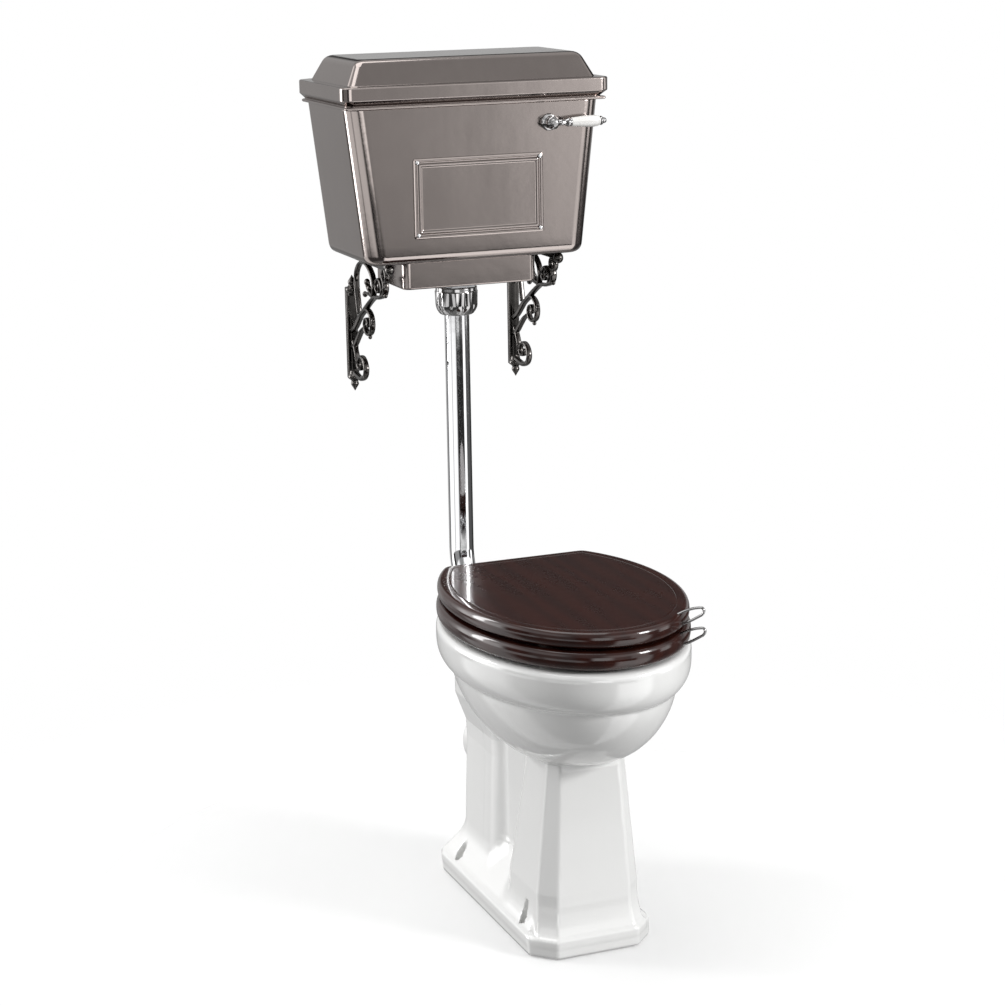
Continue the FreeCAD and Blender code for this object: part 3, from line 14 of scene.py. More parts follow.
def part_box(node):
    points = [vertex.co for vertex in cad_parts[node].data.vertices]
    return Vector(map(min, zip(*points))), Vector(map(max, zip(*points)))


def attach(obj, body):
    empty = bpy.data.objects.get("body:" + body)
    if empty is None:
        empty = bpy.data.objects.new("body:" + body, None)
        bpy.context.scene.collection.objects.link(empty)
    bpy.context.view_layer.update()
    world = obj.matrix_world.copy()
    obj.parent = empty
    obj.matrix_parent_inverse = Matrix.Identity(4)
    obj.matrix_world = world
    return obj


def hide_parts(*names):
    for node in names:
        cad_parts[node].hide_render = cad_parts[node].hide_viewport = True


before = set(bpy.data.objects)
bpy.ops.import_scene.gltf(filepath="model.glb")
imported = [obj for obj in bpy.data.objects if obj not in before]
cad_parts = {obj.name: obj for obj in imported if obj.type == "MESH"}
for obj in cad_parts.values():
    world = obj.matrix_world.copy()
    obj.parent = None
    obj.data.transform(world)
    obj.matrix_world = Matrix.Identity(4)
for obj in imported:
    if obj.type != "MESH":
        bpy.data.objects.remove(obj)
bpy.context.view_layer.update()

log = logging.getLogger("scene")
Array = np.ndarray
Sizes = tuple[float, ...]
Pair = tuple[float, float]
Colour = tuple[float, float, float]
Corners = Sequence[tuple[float, float, float]]
Stops = Sequence[Pair]
Socket = bpy.types.NodeSocket
MM = 0.001
SIDES = ("left", "right")
ENDS = ("front", "rear")
TINY = 1e-9
SAME_PLACE = 1e-7
NO_AREA = 1e-20


class Axis(Enum):
    """Direction that a turned piece is turned about."""

    X = 0
    Y = 1
    Z = 2


class Tree(Enum):
    """Node groups shared by the materials."""

    MARKS = "polish_marks"
    RELIEF = "fine_relief"
    GRAIN = "wood_grain"


# Surfaces


def rounded_line(corners: Corners, steps: int = 7) -> Array:
    """Round the inner corners of an open line.

    A corner C of radius r becomes the curve (1-t)^2 P + 2t(1-t) C + t^2 Q, where P and Q lie r short of C on its two
    sides, or half a side short where that is less.

    Args:
        corners: points (u, v, radius) in order; the first and last radius are not used.
        steps: points on each rounded corner.

    Returns:
        Array of points (u, v).
    """
    points = np.array(corners, float)[:, :2]
    share = np.linspace(0.0, 1.0, steps)[:, None]
    rows = [points[:1]]
    for before, corner, after, (_, _, radius) in zip(points, points[1:], points[2:], corners[1:-1]):
        if radius == 0:
            rows.append(corner[None])
            continue
        into, away = before - corner, after - corner
        long_in, long_out = np.linalg.norm(into), np.linalg.norm(away)
        start = corner + into / long_in * min(radius, long_in / 2)
        end = corner + away / long_out * min(radius, long_out / 2)
        rows.append((1 - share) ** 2 * start + 2 * share * (1 - share) * corner + share ** 2 * end)
    rows.append(points[-1:])
    line = np.concatenate(rows)
    apart = np.linalg.norm(np.diff(line, axis=0), axis=1) > SAME_PLACE
    return line[np.concatenate([[True], apart])]


def revolve(profile: Array, place: Sequence[float], axis: Axis, steps: int = 48) -> Array:
    """Turn an outline: the point (r, h) becomes a circle of radius r at height h along the axis.

    Args:
        profile: rows (radius, height), in metres.
        place: point on the axis at height zero.
        axis: direction of the axis.
        steps: points round each circle.

    Returns:
        Grid of points, one row per outline point.
    """
    angle = np.linspace(0.0, 2 * np.pi, steps, endpoint=False)
    grid = np.zeros((len(profile), steps, 3))
    grid[..., (axis.value + 1) % 3] = profile[:, 0, None] * np.cos(angle)
    grid[..., (axis.value + 2) % 3] = profile[:, 0, None] * np.sin(angle)
    grid[..., axis.value] = profile[:, 1, None]
    return grid + np.asarray(place, float)


def rounded_rects(half: Array, near: Array, far: Array, corner: Array, level: Array, steps: int = 7) -> Array:
    """Stack rounded rectangles: straight sides at +-half, near and far, joined by quarter circles.

    Args:
        half: half widths, one per row.
        near: low ends along the second direction.
        far: high ends along the second direction.
        corner: corner radii.
        level: heights.
        steps: points on each quarter circle.

    Returns:
        Grid of points, one row per rectangle.
    """
    quarter = np.linspace(0.0, np.pi / 2, steps)
    angle = np.concatenate([quarter + np.pi / 2 * turn for turn in range(4)])
    right = np.repeat([1.0, -1.0, -1.0, 1.0], steps)
    upper = np.repeat([True, True, False, False], steps)
    radius = corner[:, None]
    across = right * (half[:, None] - radius) + radius * np.cos(angle)
    middle = np.where(upper, far[:, None] - radius, near[:, None] + radius)
    along = middle + radius * np.sin(angle)
    return stack(np.stack([across, along], axis=-1), level)


def sweep(path: Array, across: Sequence[float], half_in: Any, half_out: Any, steps: int = 14,
          power: float = 2.0) -> Array:
    """Draw a section along a plane path: c + a cos|t|^(2/p) n + b sin|t|^(2/p) m, n in the plane and m across it.

    Args:
        path: points of the path.
        across: unit vector square to the path's plane.
        half_in: half size of the section in the plane, one value or one per point.
        half_out: half size of the section across the plane.
        steps: points round the section.
        power: 2 for an ellipse, more for a squarer section.

    Returns:
        Grid of points, one row per path point.
    """
    side = np.asarray(across, float)
    tangent = np.gradient(path, axis=0)
    tangent /= np.linalg.norm(tangent, axis=1, keepdims=True)
    normal = np.cross(side, tangent)
    angle = np.linspace(0.0, 2 * np.pi, steps, endpoint=False)
    cosine, sine = (np.sign(wave) * np.abs(wave) ** (2 / power) for wave in (np.cos(angle), np.sin(angle)))
    wide = np.broadcast_to(half_in, len(path))[:, None, None]
    deep = np.broadcast_to(half_out, len(path))[:, None, None]
    return path[:, None] + wide * cosine[None, :, None] * normal[:, None] + deep * sine[None, :, None] * side


def smooth_path(points: Sequence[Sequence[float]], per_span: int = 12) -> Array:
    """Pass a Catmull-Rom curve, a cubic between each two points, through given points.

    Args:
        points: points in order.
        per_span: points on each span.

    Returns:
        Array of points.
    """
    knots = np.asarray(points, float)
    ends = np.concatenate([2 * knots[:1] - knots[1:2], knots, 2 * knots[-1:] - knots[-2:-1]])
    share = np.linspace(0.0, 1.0, per_span, endpoint=False)[None, :, None]
    first, second, third, fourth = (ends[i:len(ends) - 3 + i, None] for i in range(4))
    curve = 0.5 * (2 * second + (third - first) * share
                   + (2 * first - 5 * second + 4 * third - fourth) * share ** 2
                   + (3 * second - first - 3 * third + fourth) * share ** 3)
    return np.concatenate([curve.reshape(-1, knots.shape[1]), knots[-1:]])


def between(start: Any, end: Any, share: Any) -> Any:
    """Give the value a share of the way from start to end."""
    return start + (end - start) * share


def part_way(value: Array, start: float, end: float) -> Array:
    """Give how far a value has gone from start to end, held between 0 and 1."""
    return np.clip((value - start) / (end - start), 0, 1)


def stack(plan: Array, level: Array) -> Array:
    """Set plane outlines, one per row, at their heights."""
    return np.concatenate([plan, np.broadcast_to(level[:, None, None], plan.shape[:2] + (1,))], axis=-1)


def join(first: Array, second: Array, soft: float) -> Array:
    """Blend two distance fields into their union, with a fillet about as wide as soft."""
    share = np.clip(0.5 + 0.5 * (second - first) / soft, 0.0, 1.0)
    return second + (first - second) * share - soft * share * (1 - share)


def meet(first: Array, second: Array, soft: float) -> Array:
    """Blend two distance fields into their overlap, with a round about as wide as soft."""
    return -join(-first, -second, soft)


def carve(body: Array, tool: Array, soft: float) -> Array:
    """Take a tool's distance field from a body's, with a round about as wide as soft."""
    return meet(body, -tool, soft)


def slab(value: Array, low: Any, high: Any) -> Array:
    """Give the distance to the space between two levels."""
    return np.maximum(low - value, value - high)


def oval(x: Array, y: Array, half: Any, near: Any, far: Any) -> Array:
    """Give the distance to an upright oval: k1 (k1 - 1) / k2, where k1 = |p/r| and k2 = |p/r^2|."""
    length = (far - near) / 2
    along = y - (far + near) / 2
    first = np.hypot(x / half, along / length)
    second = np.hypot(x / half ** 2, along / length ** 2)
    return first * (first - 1) / np.maximum(second, TINY)


def surface_net(values: Array, origin: Array, pitch: float) -> tuple[Array, Array]:
    """Wrap the zero level of a sampled field: each mixed cell gives the mean of its edges' zero crossings.

    Args:
        values: field on a regular grid.
        origin: place of the first sample.
        pitch: grid step.

    Returns:
        Vertices, and quads over them that face out of the negative side.
    """
    inside = values < 0
    cells = tuple(size - 1 for size in values.shape)
    total = np.zeros(cells + (3,))
    count = np.zeros(cells)
    crossings = []
    for axis in range(3):
        low = [slice(None)] * 3
        high = [slice(None)] * 3
        low[axis], high[axis] = slice(None, -1), slice(1, None)
        crossed = np.argwhere(inside[tuple(low)] != inside[tuple(high)])
        step = np.eye(3, dtype=int)[axis]
        start = values[tuple(crossed.T)]
        share = start / (start - values[tuple((crossed + step).T)])
        point = crossed + share[:, None] * step
        crossings.append((axis, crossed, start < 0))
        others = [other for other in range(3) if other != axis]
        for first in (0, 1):
            for second in (0, 1):
                cell = crossed.copy()
                cell[:, others[0]] -= first
                cell[:, others[1]] -= second
                kept = np.all((cell >= 0) & (cell < cells), axis=1)
                index = tuple(cell[kept].T)
                np.add.at(total, index, point[kept])
                np.add.at(count, index, 1)
    mixed = count > 0
    number = np.full(cells, -1)
    number[mixed] = np.arange(mixed.sum())
    vertices = origin + pitch * total[mixed] / count[mixed][:, None]
    quads = []
    for axis, crossed, outward in crossings:
        second, third = (axis + 1) % 3, (axis + 2) % 3
        corner = np.repeat(crossed[:, None], 4, axis=1)
        corner[:, 1:3, second] -= 1
        corner[:, 2:4, third] -= 1
        kept = np.all((corner >= 0) & (corner < cells), axis=(1, 2))
        quad = number[tuple(corner[kept].reshape(-1, 3).T)].reshape(-1, 4)
        quads.append(np.where(outward[kept][:, None], quad, quad[:, ::-1]))
    return vertices, np.concatenate(quads)


class Skin:
    """Collects surface grids and turns them into one mesh."""

    def __init__(self) -> None:
        """Start with no surface."""
        self.points: list[Array] = []
        self.quads: list[Array] = [np.zeros((0, 4), int)]
        self.triangles: list[Array] = [np.zeros((0, 3), int)]
        self.count = 0

    def add(self, grid: Array, closed: bool = False) -> "Skin":
        """Add a tube-like grid; its rows run round, and its ends are capped unless the rows close on themselves.

        Args:
            grid: points, one row per station.
            closed: whether the last row joins the first.

        Returns:
            This skin.
        """
        rows, columns = grid.shape[:2]
        index = np.arange(rows * columns).reshape(rows, columns)
        beside = np.roll(index, -1, axis=1)
        upper, upper_beside = np.roll(index, -1, axis=0), np.roll(beside, -1, axis=0)
        last = rows if closed else rows - 1
        quads = np.stack([index[:last], beside[:last], upper_beside[:last], upper[:last]], axis=-1).reshape(-1, 4)
        points = grid.reshape(-1, 3)
        triangles = np.zeros((0, 3), int)
        if not closed:
            hubs = np.stack([grid[0].mean(0), grid[-1].mean(0)])
            first = np.full(columns, len(points))
            points = np.concatenate([points, hubs])
            triangles = np.concatenate([np.stack([first, beside[0], index[0]], axis=-1),
                                        np.stack([first + 1, index[-1], beside[-1]], axis=-1)])
        faces = np.concatenate([quads[:, [0, 1, 2]], quads[:, [0, 2, 3]], triangles])
        corner = points[faces]
        volume = np.einsum("ij,ij->", corner[:, 0], np.cross(corner[:, 1], corner[:, 2]))
        if volume < 0:
            quads, triangles = quads[:, ::-1], triangles[:, ::-1]
        return self.add_faces(points, quads, triangles)

    def add_faces(self, points: Array, quads: Array, triangles: Array) -> "Skin":
        """Add faces over their own points."""
        self.points.append(points)
        self.quads.append(quads + self.count)
        self.triangles.append(triangles + self.count)
        self.count += len(points)
        return self

    def build(self, name: str, material: bpy.types.Material, normals: Array | None = None) -> bpy.types.Object:
        """Make the mesh object, shaded with normals weighted by face area.

        Args:
            name: name of the object.
            material: its material.
            normals: vertex normals to use instead.

        Returns:
            The new object.
        """
        points = np.concatenate(self.points)
        quads, triangles = np.concatenate(self.quads), np.concatenate(self.triangles)
        if normals is None:
            normals = np.zeros_like(points)
            for faces, ways in ((quads, ((0, 2), (1, 3))), (triangles, ((0, 1), (0, 2)))):
                corner = points[faces]
                facing = np.cross(*(corner[:, end] - corner[:, start] for start, end in ways))
                np.add.at(normals, faces.reshape(-1), np.repeat(facing, faces.shape[1], axis=0))
            normals /= np.maximum(np.linalg.norm(normals, axis=1, keepdims=True), NO_AREA)
        mesh = bpy.data.meshes.new(name)
        mesh.vertices.add(len(points))
        mesh.vertices.foreach_set("co", points.astype(np.float32).ravel())
        loops = np.concatenate([quads.ravel(), triangles.ravel()])
        mesh.loops.add(len(loops))
        mesh.loops.foreach_set("vertex_index", loops.astype(np.int32))
        starts = np.concatenate([np.arange(len(quads)) * 4, len(quads) * 4 + np.arange(len(triangles)) * 3])
        mesh.polygons.add(len(starts))
        mesh.polygons.foreach_set("loop_start", starts.astype(np.int32))
        mesh.polygons.foreach_set("use_smooth", np.ones(len(starts), bool))
        mesh.update(calc_edges=True)
        mesh.normals_split_custom_set_from_vertices(normals.astype(np.float32))
        mesh.materials.append(material)
        thing = bpy.data.objects.new(name, mesh)
        bpy.context.scene.collection.objects.link(thing)
        return thing


# Materials


class Graph:
    """Adds nodes to a node tree and wires them."""

    def __init__(self, tree: bpy.types.NodeTree) -> None:
        """Work on one tree."""
        self.tree = tree

    @classmethod
    def on(cls, owner: bpy.types.ID) -> "Graph":
        """Empty the node tree of a material or world and work on it."""
        owner.use_nodes = True
        owner.node_tree.nodes.clear()
        return cls(owner.node_tree)

    def add(self, kind: str, inputs: dict[Any, Any] | None = None, **settings: Any) -> bpy.types.Node:
        """Add one node.

        Args:
            kind: node type, without its ShaderNode.
            inputs: values or sockets by input name or number.
            settings: node properties.

        Returns:
            The new node.
        """
        node = self.tree.nodes.new("ShaderNode" + kind)
        for name, value in settings.items():
            setattr(node, name, value)
        for key, value in (inputs or {}).items():
            socket = node.inputs[key]
            if isinstance(value, Socket):
                self.tree.links.new(value, socket)
            else:
                socket.default_value = (*value, 1.0) if socket.type == "RGBA" else value
        return node

    def math(self, operation: str, first: Any, second: Any = 0.0, third: Any = 0.0) -> Socket:
        """Add a math node and give its output."""
        return self.add("Math", {0: first, 1: second, 2: third}, operation=operation).outputs[0]

    def mix(self, factor: Any, first: Any, second: Any) -> Socket:
        """Blend two colours and give the result."""
        return self.add("Mix", {"Factor": factor, "A": first, "B": second}, data_type="RGBA").outputs["Result"]

    def noise(self, vector: Socket, scale: Any, detail: float, roughness: float = 0.5) -> Socket:
        """Add a noise texture and give its factor."""
        return self.add("TexNoise", {"Vector": vector, "Scale": scale, "Detail": detail,
                                     "Roughness": roughness}).outputs["Fac"]

    def stretch(self, vector: Socket, scale: Sizes) -> Socket:
        """Scale a vector along its axes."""
        return self.add("Mapping", {"Vector": vector, "Scale": scale}).outputs["Vector"]

    def span(self, value: Socket, low: float, high: float, start: float = 0.0, end: float = 1.0) -> Socket:
        """Map the span low to high onto start to end."""
        return self.add("MapRange", {"Value": value, "From Min": low, "From Max": high, "To Min": start,
                                     "To Max": end}).outputs["Result"]

    def ramp(self, factor: Any, stops: Stops) -> Socket:
        """Add a grey ramp over the given stops (place, value) and give its colour."""
        node = self.add("ValToRGB", {"Fac": factor})
        elements = node.color_ramp.elements
        while len(elements) < len(stops):
            elements.new(0.5)
        for element, (place, value) in zip(elements, stops):
            element.position = place
            element.color = (value, value, value, 1.0)
        return node.outputs["Color"]


def new_group(kind: Tree, inputs: dict[str, str], outputs: Sequence[str]) -> tuple[Graph, Any, Any]:
    """Start a node group with its sockets.

    Args:
        kind: which group.
        inputs: socket types by name.
        outputs: names of float outputs.

    Returns:
        Graph of the group, the sockets that feed it and the sockets that it fills.
    """
    tree = bpy.data.node_groups.new(kind.value, "ShaderNodeTree")
    for name, socket in inputs.items():
        tree.interface.new_socket(name, in_out="INPUT", socket_type=socket)
    for name in outputs:
        tree.interface.new_socket(name, in_out="OUTPUT", socket_type="NodeSocketFloat")
    return Graph(tree), tree.nodes.new("NodeGroupInput").outputs, tree.nodes.new("NodeGroupOutput").inputs


PLACED = {"Vector": "NodeSocketVector", "Scale": "NodeSocketFloat"}


def marks_group() -> bpy.types.NodeTree:
    """Make the group for handling and polishing marks: broad clouds broken by fine streaks."""
    graph, source, sink = new_group(Tree.MARKS, PLACED, ("Value",))
    clouds = graph.noise(source["Vector"], source["Scale"], 4.0, 0.55)
    fine = graph.math("MULTIPLY", source["Scale"], 14.0)
    streaks = graph.noise(graph.stretch(source["Vector"], (1.0, 1.0, 0.12)), fine, 2.0)
    soft = graph.math("MULTIPLY", clouds, 0.85)
    graph.tree.links.new(graph.math("MULTIPLY_ADD", streaks, 0.3, soft), sink["Value"])
    return graph.tree


def relief_group() -> bpy.types.NodeTree:
    """Make the group for slight unevenness: slow waves under a fine skin."""
    graph, source, sink = new_group(Tree.RELIEF, PLACED, ("Height",))
    waves = graph.noise(source["Vector"], source["Scale"], 1.0)
    skin = graph.noise(source["Vector"], graph.math("MULTIPLY", source["Scale"], 9.0), 2.0)
    graph.tree.links.new(graph.math("MULTIPLY_ADD", skin, 0.08, waves), sink["Height"])
    return graph.tree


def grain_group() -> bpy.types.NodeTree:
    """Make the group for mahogany: wavy growth bands along Y, and short dark pores."""
    graph, source, sink = new_group(Tree.GRAIN, {"Vector": "NodeSocketVector"}, ("Shade", "Pores"))
    long_way = graph.stretch(source["Vector"], (1.0, 0.16, 1.0))
    bands = graph.add("TexWave", {"Vector": long_way, "Scale": 9.0, "Distortion": 7.5, "Detail": 3.0,
                                  "Detail Scale": 1.4}, bands_direction="X").outputs["Fac"]
    half = graph.math("MULTIPLY", bands, 0.45)
    shade = graph.math("MULTIPLY_ADD", graph.noise(long_way, 45.0, 2.0), 0.55, half)
    specks = graph.noise(graph.stretch(source["Vector"], (1.0, 0.035, 1.0)), 900.0, 1.0)
    graph.tree.links.new(shade, sink["Shade"])
    graph.tree.links.new(graph.span(specks, 0.6, 0.72), sink["Pores"])
    return graph.tree


MARKS_SPAN = (0.25, 0.8)


@dataclass(frozen=True)
class Finish:
    """One surface finish: colours, gloss and relief."""

    name: str
    light: Colour
    dark: Colour
    rough: Pair
    metallic: float = 0.0
    marks_scale: float = 9.0
    relief_scale: float = 30.0
    relief_depth: float = 0.0003
    coat: float = 0.0
    coat_rough: float = 0.03
    sheen_level: float = 0.5

    def shade(self, graph: Graph, place: Socket, marks: Socket) -> Socket:
        """Give the base colour, between dark and light by the polish marks."""
        return graph.mix(marks, self.dark, self.light)

    def build(self, groups: dict[Tree, bpy.types.NodeTree]) -> bpy.types.Material:
        """Make the material.

        Args:
            groups: the shared node groups.

        Returns:
            The new material.
        """
        material = bpy.data.materials.new(self.name)
        graph = Graph.on(material)
        place = graph.add("TexCoord").outputs["Object"]
        marks, relief = (graph.add("Group", {"Vector": place, "Scale": scale}, node_tree=groups[kind]).outputs[0]
                         for kind, scale in ((Tree.MARKS, self.marks_scale), (Tree.RELIEF, self.relief_scale)))
        bump = graph.add("Bump", {"Height": relief, "Distance": self.relief_depth, "Strength": 1.0})
        surface = graph.add("BsdfPrincipled", {
            "Base Color": self.shade(graph, place, marks), "Roughness": graph.span(marks, *MARKS_SPAN, *self.rough),
            "Metallic": self.metallic, "Normal": bump.outputs["Normal"], "Specular IOR Level": self.sheen_level,
            "Coat Weight": self.coat, "Coat Roughness": self.coat_rough})
        graph.add("OutputMaterial", {"Surface": surface.outputs["BSDF"]})
        return material


@dataclass(frozen=True)
class WoodFinish(Finish):
    """Lacquered wood, with grain and pores under the gloss."""

    pore: Colour = (0.006, 0.003, 0.002)
    pore_share: float = 0.04

    def shade(self, graph: Graph, place: Socket, marks: Socket) -> Socket:
        """Give the base colour from the grain, darkened in the pores."""
        group = bpy.data.node_groups[Tree.GRAIN.value]
        grain = graph.add("Group", {"Vector": place}, node_tree=group).outputs
        wood = graph.mix(grain["Shade"], self.dark, self.light)
        return graph.mix(graph.math("MULTIPLY", grain["Pores"], self.pore_share), wood, self.pore)


PLATED = {"metallic": 1.0, "marks_scale": 30.0, "relief_scale": 40.0, "relief_depth": 0.00008}
RUBBER = {"marks_scale": 60.0, "relief_scale": 300.0, "relief_depth": 0.0002}
MOULDED = {"marks_scale": 20.0, "relief_scale": 250.0, "relief_depth": 0.0001}
FINISHES: dict[str, Finish] = {
    "glazed_china": Finish("white_glaze", (0.87, 0.87, 0.86), (0.84, 0.84, 0.83), (0.05, 0.11),
                           relief_scale=14.0, relief_depth=0.0004, coat=0.5),
    "mahogany": WoodFinish("mahogany_lacquer", (0.036, 0.0084, 0.0052), (0.0165, 0.0048, 0.0036), (0.3, 0.4),
                           relief_scale=22.0, relief_depth=0.00004, coat=0.84, coat_rough=0.08, sheen_level=0.05),
    "cistern_metal": Finish("polished_cistern", (0.3, 0.265, 0.25), (0.24, 0.21, 0.2), (0.08, 0.15), 1.0,
                            marks_scale=6.0, relief_scale=8.0, relief_depth=0.0005),
    "bracket_metal": Finish("polished_casting", (0.1, 0.094, 0.09), (0.036, 0.034, 0.032), (0.06, 0.13), 1.0,
                            marks_scale=25.0, relief_scale=50.0, relief_depth=0.0001),
    "chrome": Finish("bright_chrome", (0.66, 0.66, 0.67), (0.58, 0.58, 0.59), (0.03, 0.09), **PLATED),
    # darker copy of bright_chrome: painted shade, put on the nut, the lever and the handle wires in place of their
    # slot's own chrome
    "dark_chrome": Finish("painted_shade_chrome", (0.36, 0.355, 0.355), (0.28, 0.275, 0.275), (0.04, 0.1), **PLATED),
    "grip_china": Finish("grip_glaze", (0.88, 0.87, 0.85), (0.83, 0.82, 0.79), (0.06, 0.12),
                         marks_scale=40.0, relief_scale=60.0, relief_depth=0.0001, coat=0.5),
    "buffer_rubber": Finish("pale_rubber", (0.66, 0.64, 0.6), (0.5, 0.48, 0.44), (0.5, 0.7), **RUBBER),
    "seal_rubber": Finish("black_rubber", (0.045, 0.045, 0.045), (0.018, 0.018, 0.018), (0.45, 0.65), **RUBBER),
    "plain_brass": Finish("satin_brass", (0.66, 0.47, 0.22), (0.5, 0.33, 0.14), (0.2, 0.38), 1.0,
                          marks_scale=50.0, relief_scale=200.0, relief_depth=0.0001),
    "siphon_plastic": Finish("pale_moulding", (0.78, 0.78, 0.76), (0.68, 0.68, 0.65), (0.35, 0.5), **MOULDED),
    "float_plastic": Finish("orange_moulding", (0.78, 0.32, 0.11), (0.66, 0.25, 0.08), (0.35, 0.5), **MOULDED),
}


class Palette:
    """Builds each finish once and gives it out by its slot in the record."""

    def __init__(self) -> None:
        """Make the shared groups and every material."""
        self.groups = {Tree.MARKS: marks_group(), Tree.RELIEF: relief_group(), Tree.GRAIN: grain_group()}
        self.materials = {slot: finish.build(self.groups) for slot, finish in FINISHES.items()}

    def __getitem__(self, slot: str) -> bpy.types.Material:
        """Give the material of a slot."""
        return self.materials[slot]


# Pieces


@dataclass(frozen=True)
class Box:
    """Rest box of a CAD node, in metres."""

    low: Array
    high: Array

    @classmethod
    def of(cls, node: str) -> "Box":
        """Read the box of a node."""
        low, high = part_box(node)
        return cls(np.array(low), np.array(high))

    @property
    def middle(self) -> Array:
        """Give the centre of the box."""
        return (self.low + self.high) / 2

    @property
    def size(self) -> Array:
        """Give the lengths of the box's sides."""
        return self.high - self.low


@dataclass
class Piece:
    """Base of the built pieces: holds the palette and hands finished meshes to the frame."""

    palette: Palette

    def place(self, skin: Skin, name: str, slot: str, body: str, *nodes: str, normals: Array | None = None,
              look: str = "") -> None:
        """Make a mesh, tie it to its body and let it stand for its CAD nodes.

        Args:
            skin: surface of the piece.
            name: name of the piece.
            slot: material slot in the record.
            body: body that carries it.
            nodes: CAD nodes that it replaces.
            normals: vertex normals, if the skin's own are not wanted.
            look: finish to use, if not the slot's own.
        """
        thing = skin.build(name, self.palette[look or slot], normals)
        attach(thing, body)
        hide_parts(*nodes)
        log.info("%s: %d faces", name, len(thing.data.polygons))


@dataclass(frozen=True)
class PanRounds:
    """Widths of the pan's rounds and coves, in millimetres."""

    rim_top: float = 11.0
    rim_under: float = 5.0
    bowl: float = 12.0
    rim_to_bowl: float = 4.0
    bowl_to_body: float = 12.0
    column_face: float = 2.5
    column: float = 3.0
    column_rear: float = 36.0
    foot_side: float = 2.0
    foot_cut: float = 3.0
    foot_top: float = 5.0
    column_cove: float = 7.0
    web: float = 8.0
    web_cove: float = 16.0
    trunk: float = 24.0
    trunk_cove: float = 20.0
    block_top: float = 6.0
    skirt: float = 7.0
    skirt_top: float = 5.0
    skirt_cove: float = 10.0
    spigot: float = 3.0
    spigot_cove: float = 5.0
    dish_floor: float = 10.0
    dish_lip: float = 12.0
    trap: float = 6.0
    trap_lip: float = 4.0
    bore_lip: float = 2.0
    flush_lip: float = 3.0
    hinge_lip: float = 1.5
    pocket: float = 5.0
    pocket_lip: float = 3.0
    screw_lip: float = 1.0
    recess: float = 14.0
    recess_lip: float = 5.0
    cavity: float = 10.0
    cavity_top: float = 8.0
    cavity_lip: float = 3.0


